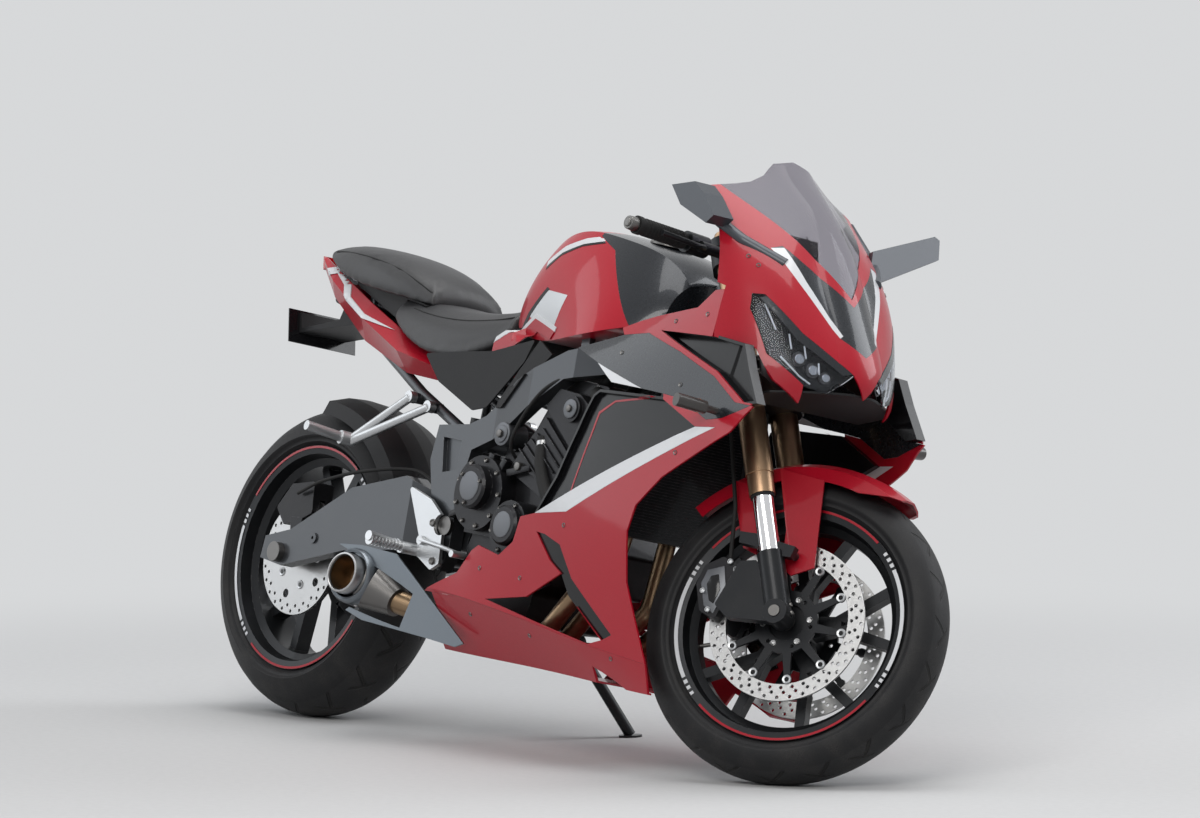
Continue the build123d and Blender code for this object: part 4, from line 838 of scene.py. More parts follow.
    def done(
        self, smooth: float = 35.0, bevel: float = 0.0, uv: Vector | None = None, half: float = 1.0,
    ) -> bpy.types.Object:
        """Finish the piece and put it on its body.

        Args:
            smooth: edges sharper than this angle stay sharp.
            bevel: width of a bevel on sharp edges, in mm.
            uv: centre of a wheel, if the piece gets a map round it.
            half: half width of that wheel's tyre, in mm.

        Returns:
            The finished object.
        """
        mesh = self.mesh
        bmesh.ops.remove_doubles(mesh, verts=mesh.verts, dist=0.00001)
        if bevel:
            corner = math.radians(30)
            sharp = [e for e in mesh.edges if len(e.link_faces) == 2 and e.calc_face_angle(0) > corner]
            bmesh.ops.bevel(
                mesh, geom=sharp, offset=bevel * MM, offset_type="OFFSET", affect="EDGES", segments=2,
                profile=0.5, material=-1, clamp_overlap=True,
            )
        bmesh.ops.recalc_face_normals(mesh, faces=mesh.faces)
        if uv is not None:
            self._map_round(uv, half)
        for face in mesh.faces:
            face.smooth = True
        for edge in mesh.edges:
            if len(edge.link_faces) == 2 and edge.calc_face_angle(0) > math.radians(smooth):
                edge.smooth = False
        data = bpy.data.meshes.new(self.name)
        mesh.transform(PARKING.matrix(self.body))
        mesh.to_mesh(data)
        mesh.free()
        obj = bpy.data.objects.new(self.name, data)
        bpy.context.scene.collection.objects.link(obj)
        PALETTE.dress(obj, self.finish)
        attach(obj, self.body.value)
        return obj


NODES_BY_FINISH = {
    "frame_paint": (
        "front_rim", "rear_rim", "front_disc_carriers", "fork_feet", "triple_clamps", "handlebars",
        "radiator", "shock", "side_stand",
    ),
    "steel": ("front_rotors", "rear_disc", "rear_sprocket"),
    "gold": ("fork_tubes",),
    "chrome": ("fork_sliders",),
    "dark_steel": ("front_axle", "silencer", "rear_axles"),
    "rubber": ("grips", "brake_hoses"),
    "engine_metal": ("front_callipers", "crankcase", "cylinders", "engine_covers", "rear_calliper"),
    "red_paint": (
        "front_mudguard", "side_fairings", "upper_fairings", "belly_pan", "nose_cowl", "tank", "tail_cowl",
    ),
    "frame_grey": ("frame", "swingarm"),
    "header_metal": ("headers",),
    "shield_grey": ("silencer_shield",),
    "black_plastic": ("hugger", "cowl_stay", "instruments", "plate_holder", "side_covers"),
    "panel_black": ("vent_panels", "scoops"),
    "dark_paint": ("shoulder_panels", "nose_centre", "tank_cover"),
    "gloss_black": ("vent_blades", "number_plate"),
    "amber_dark": ("indicators",),
    "white_paint": ("stripes",),
    "smoked": ("screen",),
    "lamp_glass": ("headlights",),
    # mirror housings: black plastic with a painted blue-grey reflection
    "mirror_painted_sheen": ("mirrors",),
    "red_lens": ("tail_light",),
    "silver": ("footrests", "foot_controls"),
}


@dataclass
class Wheel:
    """Tyre, valve, rim stripes and disc fasteners of one wheel, in mm.

    Args:
        name: front or rear.
        body: the wheel's body.
        centre: centre of the wheel, in metres.
        radius: outer radius of the tyre.
        half: half width of the tyre.
        crown: radius of the tyre's crown across.
        rim_half: half width of the rim.
        button_ring: radius of the ring of disc buttons.
        button_count: how many buttons a disc has.
        disc_faces: y of each disc's outer face.
        carriers: whether disc carriers are bolted to the hub.
        flange: radius of the rim's edge.
        seat: radius of the bead's seat.
        tread: thickness of the tread.
        stripe_edge: outer radius of the rim's stripes.
        red_arcs: (start, sweep) of the red stripes, in degrees.
        white_starts: where each row of white dashes starts, in degrees.
        white_dashes: (start, sweep) of the dashes in a row, in degrees.
    """

    name: str
    body: Body
    centre: Vector
    radius: float
    half: float
    crown: float
    rim_half: float
    button_ring: float
    button_count: int
    disc_faces: tuple[float, ...]
    carriers: bool = False
    flange: float = 230.0
    seat: float = 217.0
    tread: float = 12.0
    stripe_edge: float = 229.2
    red_arcs: Outline = ((56, 94), (236, 94))
    white_starts: tuple[float, ...] = (-22, 158)
    white_dashes: Outline = ((0, 1.6), (3, 1.8), (6, 2.0), (9.5, 52), (63, 2.0), (66.5, 1.8), (70, 1.6))

    def _crown_at(self, y: float) -> float:
        """Radius of the tread at a distance from the middle."""
        return self.radius - self.crown + math.sqrt(self.crown**2 - y**2)

    def tyre(self) -> None:
        """The tyre: a crowned tread with a bead line on each wall."""
        shoulder = self._crown_at(self.half)
        outer = [(self._crown_at(y), y) for y in (self.half * (1 - step / 6) for step in range(13))]
        wall = self.rim_half + 0.45 * (self.half - self.rim_half)
        side = [
            (shoulder - 0.35 * (shoulder - self.flange - 12), (self.half + wall) / 2 + 2.2),
            (self.flange + 16, wall + 0.8), (self.flange + 12, wall - 1.4), (self.flange + 8, wall - 0.6),
            (self.flange + 2, self.rim_half - 5.2), (self.seat + 1, self.rim_half - 7),
            (self.seat + 1, self.rim_half - 16), (shoulder - self.tread, self.half - self.tread),
        ]
        inner = [(self.radius - self.tread, 0)] + side[::-1]
        profile = outer + [(r, -y) for r, y in side] + inner
        piece = Piece(f"{self.name}_tyre_treaded", self.body, f"{self.name}_rubber")
        piece.turned(profile, self.centre, 144)
        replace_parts(piece.done(50, uv=self.centre, half=self.half), f"{self.name}_tyre")

    def valve(self) -> None:
        """A valve stem on the rim."""
        piece = Piece(f"{self.name}_valve", self.body, "dark_steel")
        out = heading(200)
        base = self.centre / MM
        piece.rod(base + out * 196, base + out * 168, 4.0, sides=12)
        piece.rod(base + out * 170, base + out * 158, 5.0, sides=12)
        piece.done()

    def stripe(self, name: str, finish: str, arcs: Outline, width: float) -> None:
        """Thin coloured bands on both edges of the rim.

        Args:
            name: name of the bands.
            finish: name of their finish.
            arcs: (start, sweep) of each band, in degrees.
            width: how far they reach towards the hub, in mm.
        """
        piece = Piece(f"{self.name}_{name}", self.body, finish)
        low = self.stripe_edge - width
        for side in (1, -1):
            face, out = (self.rim_half + 0.1) * side, (self.rim_half + 0.5) * side
            profile = [(self.stripe_edge, face), (self.stripe_edge, out), (low, out), (low, face)]
            for start, sweep in arcs:
                piece.turned(profile, self.centre, max(2, int(sweep / 3)), start, sweep)
        piece.done()

    def buttons(self) -> None:
        """Bobbins that hold a floating rotor, or bolts that hold a disc."""
        rings = Piece(f"{self.name}_disc_buttons", self.body, "silver")
        middles = Piece(f"{self.name}_button_middles", self.body, "gloss_black")
        for face in self.disc_faces:
            way = Vector((0, math.copysign(1, face), 0))
            for step in range(self.button_count):
                out = heading(360 / self.button_count * step)
                at = self.centre / MM + out * self.button_ring + Vector((0, face, 0))
                rings.bolt(at, way, 9.5, 2.6)
                middles.rod(at, at + way * 2.0, 4.6, sides=16)
        rings.done()
        middles.done()

    def carrier_bolts(self, radius: float = 47.0, count: int = 6) -> None:
        """Bolts that hold the disc carriers to the hub, set on the carriers' faces.

        Args:
            radius: their distance from the axle, in mm.
            count: how many a side.
        """
        piece = Piece(f"{self.name}_carrier_bolts", self.body, "steel")
        node = f"{self.name}_disc_carriers"
        for side in (1, -1):
            for step in range(count):
                way = heading(15 + 360 / count * step)
                spots = [self.centre / MM + way * (radius + shift) for shift in (-9, 0, 9)]
                hits = [surface(node, p.x, p.z, side, body=self.body) for p in spots]
                faces = [abs(hit[0].y) for hit in hits if hit]
                if faces:
                    piece.bolt((spots[1].x, max(faces) * side, spots[1].z), (0, side, 0), 6.5, 3.4)
        piece.done()

    def build(self) -> None:
        """Make the tyre, the valve and the stripes."""
        self.tyre()
        self.valve()
        self.stripe("red_stripes", "red_paint", self.red_arcs, 4.6)
        white = [(start + ahead, sweep) for start in self.white_starts for ahead, sweep in self.white_dashes]
        self.stripe("white_stripes", "white_paint", white, 7.6)

    def fasten(self) -> None:
        """Make what holds the discs."""
        self.buttons()
        if self.carriers:
            self.carrier_bolts()


@dataclass
class Chain:
    """Drive chain of separate links on its run round both sprockets, in mm.

    Args:
        pitch: distance between two rollers.
        middle: y of the chain's middle plane.
        half: half length of a roller.
        roller: radius of a roller.
        front_teeth: teeth of the front sprocket.
        rear_teeth: teeth of the rear sprocket.
        front: centre of the front sprocket.
        rear: centre of the rear sprocket.
        plates: how far the inner and the outer plates lie from the middle plane.
        plate_size: how far a plate reaches past the pitch, its thickness and its height.
    """

    pitch: float = 15.875
    middle: float = 106.0
    half: float = 8.5
    roller: float = 4.0
    front_teeth: int = 15
    rear_teeth: int = 42
    front: Point = (628.0, 0.0, 425.0)
    rear: Point = (0.0, 0.0, 315.0)
    plates: tuple[float, float] = (5.2, 7.2)
    plate_size: Point = (9.0, 1.7, 9.5)

    def _run(self) -> list[Vector]:
        """Points along the chain, one pitch apart.

        Returns:
            The points, in mm.
        """
        front, rear = Vector(self.front), Vector(self.rear)
        big = self.pitch / 2 / math.sin(math.pi / self.rear_teeth)
        small = self.pitch / 2 / math.sin(math.pi / self.front_teeth)
        way = front - rear
        rise = math.atan2(way.z, way.x)
        lean = math.acos((big - small) / way.length)
        straight = math.sqrt(way.length**2 - (big - small) ** 2)
        top, low = math.degrees(rise + lean), math.degrees(rise - lean)
        round_front = (2 * lean) * small
        round_rear = (2 * math.pi - 2 * lean) * big
        total = 2 * straight + round_front + round_rear
        count = int(total / self.pitch)
        points = []
        for step in range(count):
            s = total * step / count
            if s < straight:
                points.append((rear + heading(top) * big).lerp(front + heading(top) * small, s / straight))
            elif s < straight + round_front:
                points.append(front + heading(top - math.degrees((s - straight) / small)) * small)
            elif s < 2 * straight + round_front:
                part = (s - straight - round_front) / straight
                points.append((front + heading(low) * small).lerp(rear + heading(low) * big, part))
            else:
                gone = math.degrees((s - 2 * straight - round_front) / big)
                points.append(rear + heading(low - gone) * big)
        return points

    def build(self) -> None:
        """Make the rollers and the link plates."""
        points = self._run()
        rollers = Piece("chain_rollers", Body.CHASSIS, "dark_steel")
        links = Piece("chain_plates", Body.CHASSIS, "gold")
        past, thick, height = self.plate_size
        left, right = Vector((0, self.middle - self.half, 0)), Vector((0, self.middle + self.half, 0))
        for index, (a, b) in enumerate(zip(points, points[1:] + points[:1])):
            rollers.rod(a + left, a + right, self.roller, sides=8)
            way = (b - a).normalized()
            up = Vector((-way.z, 0, way.x))
            turn = Matrix((way, Vector((0, 1, 0)), up)).transposed().to_4x4()
            for side in (1, -1):
                mid = (a + b) / 2 + Vector((0, self.middle + self.plates[index % 2] * side, 0))
                links.box(mid, (self.pitch + past, thick, height), turn)
        whole = rollers.done()
        links.done(bevel=0.6)
        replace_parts(whole, "chain")


def ring(centre: tuple[float, float], radius: float, y: float, angles: range) -> tuple[Point, ...]:
    """Points round a cover.

    Args:
        centre: (x, z) of the cover's middle, in mm.
        radius: radius of the ring, in mm.
        y: y of the face that they lie on, in mm.
        angles: their angles, in degrees.

    Returns:
        The points, in mm.
    """
    middle = Vector((centre[0], y, centre[1]))
    return tuple(tuple(middle + heading(angle) * radius) for angle in angles)


@dataclass(frozen=True)
class Bolts:
    """Bolts on one cover of the engine or on a footrest's hanger, pointing outwards.

    Args:
        name: name of the piece.
        radius: radius of a head, in mm.
        points: where their feet are, in mm.
    """

    name: str
    radius: float
    points: tuple[Point, ...]

    def build(self) -> None:
        """Make the group."""
        piece = Piece(self.name, Body.CHASSIS, "dark_steel")
        for at in self.points:
            piece.bolt(at, (0, math.copysign(1, at[1]), 0), self.radius, 4.0)
        piece.done()


BOLTS = (
    Bolts("clutch_cover_bolts", 5.0, ring((646, 478), 66, -168, range(0, 360, 40))),
    Bolts("clutch_centre_bolts", 4.0, ring((644, 488), 34, -190, range(20, 380, 120))),
    Bolts("crank_cover_bolts", 4.5, ring((769, 416), 47, -178, range(10, 370, 60))),
    Bolts("generator_bolts", 5.0, ring((775, 400), 60, 176, range(0, 360, 45))),
    Bolts("hanger_bolts", 8.0, ((522, -168, 409), (540, -168, 334), (478, -205, 352))),
    Bolts("left_hanger_bolts", 8.0, ((522, 168, 409), (540, 168, 334))),
)


@dataclass
class Fork:
    """Caps, seals and pinch bolts on the fork legs, along the fork's own axes, in mm.

    Args:
        half: distance of each leg from the middle.
        stem: how far the stem lies ahead of the legs.
        seals: (low, high, radius, upper radius, facets) of the dust seals.
        caps: the same of the caps.
        adjusters: the same of the adjusters.
        stem_nut: (low, high, radius, upper radius, facets) of the stem's nut.
        foot_bolts: heights of the foot's pinch bolts.
        clamp_bolts: heights of the clamps' pinch bolts.
    """

    half: float = 106.0
    stem: float = -37.99
    seals: tuple[tuple[float, ...], ...] = ((238, 252, 23.0, 23.5, 40), (252, 256, 24.5, 24.5, 40))
    caps: tuple[tuple[float, ...], ...] = ((782, 788, 25.0, 24.0, 40),)
    adjusters: tuple[tuple[float, ...], ...] = ((788, 795, 12.0, 12.0, 6), (795, 801, 6.0, 5.0, 16))
    stem_nut: tuple[float, ...] = (774, 786, 16.0, 15.0, 6)
    foot_bolts: tuple[float, ...] = (-2, 14)
    clamp_bolts: tuple[float, ...] = (486, 514)

    @staticmethod
    def spot(ahead: float, across: float, up: float) -> Vector:
        """A point given along the fork's axes, in mm."""
        return (PARKING.fork() @ (Vector((ahead, across, up)) * MM)) / MM

    def build(self) -> None:
        """Make the fork's small parts."""
        ahead = PARKING.fork().to_3x3() @ Vector((1, 0, 0))
        rows = (
            (Piece("fork_seals", Body.STEERING, "rubber"), self.seals),
            (Piece("fork_caps", Body.STEERING, "gold"), self.caps),
            (Piece("fork_adjusters", Body.STEERING, "dark_steel"), self.adjusters),
        )
        pinch = Piece("fork_pinch_bolts", Body.STEERING, "dark_steel")
        for side in (1, -1):
            for piece, rods in rows:
                for low, high, radius, tip, sides in rods:
                    ends = [self.spot(0, self.half * side, up) for up in (low, high)]
                    piece.rod(*ends, radius, tip, sides)
            for up in self.foot_bolts:
                pinch.bolt(self.spot(24, self.half * side, up), ahead, 5.0, 4.0)
            for up in self.clamp_bolts:
                pinch.bolt(self.spot(30, (self.half + 18) * side, up), ahead, 6.0, 5.0)
        for piece, _ in rows:
            piece.done()
        pinch.done()
        nut = Piece("stem_nut", Body.STEERING, "chrome")
        low, high, radius, tip, sides = self.stem_nut
        nut.rod(self.spot(self.stem, 0, low), self.spot(self.stem, 0, high), radius, tip, sides)
        nut.done(bevel=0.8)


def smooth_pipe(
    piece: Piece, points: tuple[Point, ...] | list[Vector], radius: float, per: int = 8, sides: int = 16,
) -> None:
    """Add a smooth pipe through some points to a piece.

    Args:
        piece: the piece that it becomes part of.
        points: the points, in mm.
        radius: radius of the pipe, in mm.
        per: rings from each point to the next.
        sides: facets round it.
    """
    rows = [Vector(p) for p in points]
    rows = [rows[0] * 2 - rows[1], *rows, rows[-1] * 2 - rows[-2]]
    path = []
    for a, b, c, d in zip(rows, rows[1:], rows[2:], rows[3:]):
        for step in range(per):
            t = step / per
            curve = (2 * a - 5 * b + 4 * c - d) * t**2 + (3 * b - a - 3 * c + d) * t**3
            path.append(0.5 * (2 * b + (c - a) * t + curve))
    path.append(rows[-2])
    rings = []
    for index, at in enumerate(path):
        way = path[min(index + 1, len(path) - 1)] - path[max(index - 1, 0)]
        made = bmesh.ops.create_circle(
            piece.mesh, segments=sides, radius=radius * MM, matrix=Piece.toward(at, way),
        )
        rings.append(list({e for v in made["verts"] for e in v.link_edges}))
    for a, b in zip(rings, rings[1:]):
        bmesh.ops.bridge_loops(piece.mesh, edges=a + b)
    for end in (rings[0], rings[-1]):
        bmesh.ops.edgeloop_fill(piece.mesh, edges=end)


@dataclass(frozen=True)
class Hose:
    """A hose or cable held at both ends, drawn as a smooth pipe.

    Args:
        name: name of the piece.
        radius: radius of the hose, in mm.
        points: its route, in mm.
    """

    name: str
    radius: float
    points: tuple[Point, ...]

    def build(self) -> None:
        """Make the hose."""
        piece = Piece(self.name, Body.CHASSIS, "rubber")
        smooth_pipe(piece, self.points, self.radius)
        piece.done()


@dataclass
class Hoses:
    """The hoses and cables that show, with clips at the coolant hoses' ends, in mm.

    Args:
        hoses: the hoses and cables.
        clipped: radius above which a hose has clips.
        clip: where a clip starts from the hose's end, and its width.
    """

    hoses: tuple[Hose, ...] = (
        Hose("coolant_hose", 13.0,
             ((1034, -118, 460), (960, -158, 452), (880, -166, 470), (820, -160, 540), (800, -150, 600))),
        Hose("upper_coolant_hose", 12.0,
             ((1034, -120, 650), (985, -150, 668), (940, -150, 690), (905, -118, 705))),
        Hose("clutch_cable", 3.5,
             ((700, -120, 545), (720, -165, 590), (800, -172, 690), (900, -150, 740), (1000, -100, 790))),
        Hose("rear_brake_hose", 3.5,
             ((0, -118, 440), (90, -128, 470), (220, -122, 500), (360, -104, 512), (470, -128, 470),
              (500, -150, 430))),
    )
    clipped: float = 10.0
    clip: tuple[float, float] = (10.0, 9.0)

    def build(self) -> None:
        """Make every hose with its clips."""
        clips = Piece("hose_clips", Body.CHASSIS, "steel")
        start, width = self.clip
        for hose in self.hoses:
            hose.build()
            if hose.radius > self.clipped:
                for a, b in (hose.points[:2], hose.points[:-3:-1]):
                    way = (Vector(b) - Vector(a)).normalized()
                    at = Vector(a) + way * start
                    clips.rod(at, at + way * width, hose.radius + 1.2, sides=24)
        clips.done()


@dataclass
class Lamps:
    """What shows behind the headlight lenses, and the lenses of the indicators, in mm.

    Args:
        projectors: (y, z, radius) of each projector.
        strips: (y, z) points along each light strip.
        projector_depth: how far a projector lies behind the lens.
        strip_depth: how far a strip lies behind the lens.
        housing: how far the housing lies back, inwards and up from the lens.
        indicator: where the left indicator's lens starts.
        indicator_way: the direction that it points in.
    """

    projectors: tuple[Point, ...] = ((119, 804, 11), (97, 786, 11), (76, 775, 9))
    strips: tuple[Outline, ...] = (
        ((133, 846), (131, 818)), ((111, 828), (109, 804)), ((89, 800), (88, 778)),
        ((146, 800), (134, 786), (118, 768), (100, 756)), ((164, 896), (158, 872), (152, 850)),
    )
    projector_depth: float = 18.0
    strip_depth: float = 8.0
    housing: Point = (-30.0, -12.0, 2.0)
    indicator: Point = (1385.0, 262.0, 680.0)
    indicator_way: Point = (-0.20, 0.97, 0.08)

    @staticmethod
    def behind(y: float, z: float, side: int, depth: float) -> Vector:
        """A point behind the lens.

        Args:
            y: distance from the middle, in mm.
            z: height, in mm.
            side: 1 for the left lamp and -1 for the right.
            depth: how far it lies behind the glass, in mm.

        Returns:
            The point, in mm.
        """
        hit = surface("headlights", y, z, side, View.FRONT)
        if hit is None:
            return Vector((1470 - depth, y * side, z))
        return hit[0] - hit[1] * depth

    def housings(self) -> None:
        """The dark housings, from the lenses' own shape."""
        piece = Piece("lamp_housings", Body.CHASSIS, "gloss_black")
        piece.mesh.from_mesh(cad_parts["headlights"].data)
        piece.mesh.transform(PARKING.matrix(Body.CHASSIS).inverted())
        back, inwards, up = self.housing
        for side in (1, -1):
            half = [vert for vert in piece.mesh.verts if vert.co.y * side > 0]
            bmesh.ops.translate(piece.mesh, verts=half, vec=Vector((back, inwards * side, up)) * MM)
        piece.done()

    def lights(self) -> None:
        """The projectors and the light strips."""
        rings = Piece("lamp_rings", Body.CHASSIS, "dark_steel")
        lenses = Piece("lamp_projectors", Body.CHASSIS, "mirror_glass")
        strips = Piece("lamp_strips", Body.CHASSIS, "lamp_white")
        for side in (1, -1):
            way = Vector((0.92, 0.38 * side, 0.05)).normalized()
            for y, z, radius in self.projectors:
                at = self.behind(y, z, side, self.projector_depth)
                rings.rod(at - way * 8, at, radius + 2, radius + 3, 32)
                lenses.rod(at, at + way * 4, radius, radius * 0.8, 32)
            for rows in self.strips:
                points = [self.behind(y, z, side, self.strip_depth) for y, z in rows]
                for a, b in zip(points, points[1:]):
                    strips.rod(a, b, 1.7, sides=10)
        for piece in (rings, lenses, strips):
            piece.done(bevel=0.4)

    def indicators(self) -> None:
        """The indicators' lenses."""
        piece = Piece("indicator_lenses", Body.CHASSIS, "amber")
        for side in (1, -1):
            flip = Vector((1, side, 1))
            way = Vector(self.indicator_way).normalized() * flip
            start = Vector(self.indicator) * flip
            piece.rod(start, start + way * 46, 13.8, 10.0, 24)
        piece.done(bevel=1.0)

    def build(self) -> None:
        """Make the lamps' insides and lenses."""
        self.housings()
        self.lights()
        self.indicators()


@dataclass
class Controls:
    """Ribs and weights on the bars, and ribs on the rider's pegs, in mm.

    Args:
        grip_root: where the right grip starts.
        grip_end: where the right grip ends.
        grip_ribs: how many ribs a grip has.
        peg_root: y of the first rib of a peg.
        peg_ribs: how many ribs a peg has.
    """

    grip_root: Point = (1128.0, -124.0, 966.0)
    grip_end: Point = (1031.0, -317.0, 935.0)
    grip_ribs: int = 12
    peg_root: float = 212.0
    peg_ribs: int = 9

    def grips(self) -> None:
        """Ribs round each grip and a weight at its end."""
        ribs = Piece("grip_ribs", Body.STEERING, "rubber")
        weights = Piece("bar_weights", Body.STEERING, "dark_steel")
        for side in (1, -1):
            a, b = (Vector((x, y * -side, z)) for x, y, z in (self.grip_root, self.grip_end))
            way = (b - a).normalized()
            for step in range(self.grip_ribs):
                at = a + way * (116 + step * 8)
                ribs.rod(at, at + way * 4, 17.4, sides=28)
            weights.rod(b + way * 10, b + way * 30, 14.5, 13.0, 28)
            weights.rod(b + way * 30, b + way * 33, 9.0, 8.0, 24)
        ribs.done()
        weights.done(bevel=0.8)

    def pegs(self) -> None:
        """Ribs round the rider's pegs."""
        ribs = Piece("peg_ribs", Body.CHASSIS, "silver")
        for side in (1, -1):
            for step in range(self.peg_ribs):
                x, y = 478.6 + step * 0.5, (self.peg_root + step * 9) * side
                ribs.rod((x, y, 355), (x + 0.1, y + 3.5 * side, 355.2), 11.6, sides=18)
        ribs.done()


@dataclass
class Callipers:
    """Raised cheeks, pads and bolts on the front callipers' outer faces, in mm.

    Args:
        face: distance of the outer face from the middle.
        cheek: outline of the raised cheek.
        pad: outline of the dark pad on it.
        bolts: (x, z) of the bolts.
    """

    face: float = 91.4
    cheek: Outline = ((1277, 360), (1272, 332), (1291, 290), (1314, 279), (1325, 330), (1308, 374))
    pad: Outline = ((1288, 350), (1284, 332), (1298, 302), (1309, 298), (1314, 328), (1302, 356))
    bolts: Outline = ((1334, 371), (1318, 384), (1281, 318), (1302, 284))

    def build(self) -> None:
        """Make the callipers' outer parts."""
        cheeks = Piece("calliper_cheeks", Body.STEERING, "cast_grey")
        bolts = Piece("calliper_bolts", Body.STEERING, "silver")
        pads = Piece("calliper_pads", Body.STEERING, "gloss_black")
        for side in (1, -1):
            for piece, outline, thick in ((cheeks, self.cheek, 2.6), (pads, self.pad, 3.6)):
                piece.side_plate(outline, self.face + thick if side > 0 else -self.face, thick)
            for x, z in self.bolts:
                hit = surface("front_callipers", x, z, side, body=Body.STEERING)
                if hit:
                    bolts.bolt(hit[0] + Vector((0, 1.8 * side, 0)), (0, side, 0), 6.0, 4.5)
        for piece in (cheeks, pads):
            piece.done(bevel=0.8)
        bolts.done()


@dataclass
class Radiator:
    """Fins and side tanks on the radiator, in mm.

    Args:
        rows: how many fins.
        pitch: distance between two fins.
        lowest: height of the lowest fin.
        fin: the three sizes of a fin.
        tank: the three sizes of a side tank.
        tank_at: the middle of the left side tank.
    """

    rows: int = 42
    pitch: float = 5.8
    lowest: float = 440.0
    fin: Point = (3.0, 250.0, 1.4)
    tank: Point = (37.0, 22.0, 256.0)
    tank_at: Point = (1058.0, 138.0, 560.0)

    def build(self) -> None:
        """Make the fins and the tanks."""
        fins = Piece("radiator_fins", Body.CHASSIS, "frame_paint")
        for row in range(self.rows):
            fins.box((1075.2, 0, self.lowest + row * self.pitch), self.fin)
        fins.done()
        tanks = Piece("radiator_tanks", Body.CHASSIS, "black_plastic")
        for side in (1, -1):
            tanks.box(Vector(self.tank_at) * Vector((1, side, 1)), self.tank)
        tanks.done(bevel=3)


@dataclass
class Glasses:
    """The left mirror's glass and the dial, in mm.

    Args:
        mirror_at: a point on the mirror's back.
        mirror_back: the direction that the glass faces.
        mirror: the glass's outline, across and up from that point.
        dial_at: the dial's middle.
        dial: the dial's three sizes.
        dial_slope: how far the instruments lean back over their height.
    """

    mirror_at: Point = (1326.0, 0.0, 996.0)
    mirror_back: Point = (-0.927, 0.0, -0.375)
    mirror: Outline = ((176, -60), (164, -4), (174, 0), (334, -76), (340, -108))
    dial_at: Point = (1225.0, 0.0, 1000.0)
    dial: Point = (3.0, 146.0, 76.0)
    dial_slope: tuple[float, float] = (26.0, 97.0)

    def build(self) -> None:
        """Make the mirror's glass and the dial."""
        glass = Piece("mirror_glass", Body.CHASSIS, "mirror_glass")
        back, side = Vector(self.mirror_back), Vector((0, 1, 0))
        plane = Matrix((side, back.cross(side), back)).transposed().to_4x4()
        plane.translation = (Vector(self.mirror_at) + back * 12.2) * MM
        glass.plate(self.mirror, plane, 0.8)
        glass.done()
        dial = Piece("dial", Body.CHASSIS, "display")
        dial.box(self.dial_at, self.dial, Matrix.Rotation(-math.atan2(*self.dial_slope), 4, "Y"))
        dial.done(bevel=1)


@dataclass
class Filler:
    """Filler cap on the tank's cover, in mm.

    Args:
        base: middle of the cap's foot.
        way: the direction that it stands in.
        steps: (low, high, radius, upper radius) of each step of the cap.
        bolt_ring: radius of the ring of bolts.
        bolts: how many bolts.
    """

    base: Point = (905.0, 0.0, 1009.0)
    way: Point = (0.1, 0.0, 1.0)
    steps: tuple[tuple[float, ...], ...] = ((0, 5, 44, 43), (5, 9, 33, 31))
    bolt_ring: float = 38.0
    bolts: int = 6

    def build(self) -> None:
        """Make the cap and its bolts."""
        cap = Piece("filler_cap", Body.CHASSIS, "dark_steel")
        base, way = Vector(self.base), Vector(self.way).normalized()
        for low, high, radius, tip in self.steps:
            cap.rod(base + way * low, base + way * high, radius, tip, 64)
        cap.done(bevel=1)
        bolts = Piece("filler_bolts", Body.CHASSIS, "steel")
        for step in range(self.bolts):
            out = heading(360 / self.bolts * step) * self.bolt_ring
            bolts.bolt(base + Vector((out.x, out.z, 5 - out.x / 10)), way, 3.2, 2.5)
        bolts.done()


@dataclass
class Silencer:
    """A cone from the link pipe, a rounded shell and an outlet turned outwards, in mm.

    Args:
        centre: centre that the profiles turn about.
        shell: (radius, across) points of the shell.
        outlet: (radius, across) points of the outlet pipe.
        baffle: (radius, across) points of the baffle in the outlet.
        hinge: y of the point that the shell is turned about.
        swing: how far the shell is turned about the upright axis, in degrees.
        tip: how far it is turned about the lengthwise axis, in degrees.
    """

    centre: Point = (350.0, 0.0, 281.0)
    shell: Outline = (
        (46, -223), (51, -226), (55, -221), (57, -205), (57, -170), (51, -142), (40, -128), (0, -126),
        (0, -130), (46, -146), (53, -172), (53, -204), (51, -216),
    )
    outlet: Outline = ((41, -160), (41, -243), (40, -246), (37, -247), (35.5, -245), (35, -240), (35, -160))
    baffle: Outline = (
        (34.6, -240), (34.6, -180), (12, -178), (11, -186), (0, -186), (0, -190), (14, -190), (15, -182),
        (33.6, -184), (33.6, -240),
    )
    hinge: float = -190.0
    swing: float = 7.0
    tip: float = -5.0

    def build(self) -> None:
        """Make the silencer's pieces."""
        centre = Vector(self.centre)
        cone = Piece("silencer_cone", Body.CHASSIS, "dark_steel")
        cone.rod((444, -159.5, 244.6), (372, -176, 270), 30, 50, 64)
        shell = Piece("silencer_shell", Body.CHASSIS, "shield_grey")
        shell.turned(self.shell, centre * MM, 80, close=False)
        outlet = Piece("silencer_outlet", Body.CHASSIS, "steel")
        outlet.turned(self.outlet, centre * MM, 80)
        baffle = Piece("silencer_baffle", Body.CHASSIS, "header_metal")
        baffle.turned(self.baffle, centre * MM, 64, close=False)
        bolts = Piece("silencer_bolts", Body.CHASSIS, "steel")
        for step in range(3):
            out = heading(120 * step + 40)
            bolts.bolt(centre + out * 56.5 + Vector((0, -196, 0)), out, 4.0, 2.0)
        middle = (centre + Vector((0, self.hinge, 0))) * MM
        turn = Matrix.Rotation(math.radians(self.swing), 3, "Z")
        turn = turn @ Matrix.Rotation(math.radians(self.tip), 3, "X")
        for piece in (shell, outlet, baffle, bolts):
            bmesh.ops.rotate(piece.mesh, verts=piece.mesh.verts, cent=middle, matrix=turn)
        cone.done()
        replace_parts(shell.done(), "silencer")
        for piece in (outlet, baffle, bolts):
            piece.done()


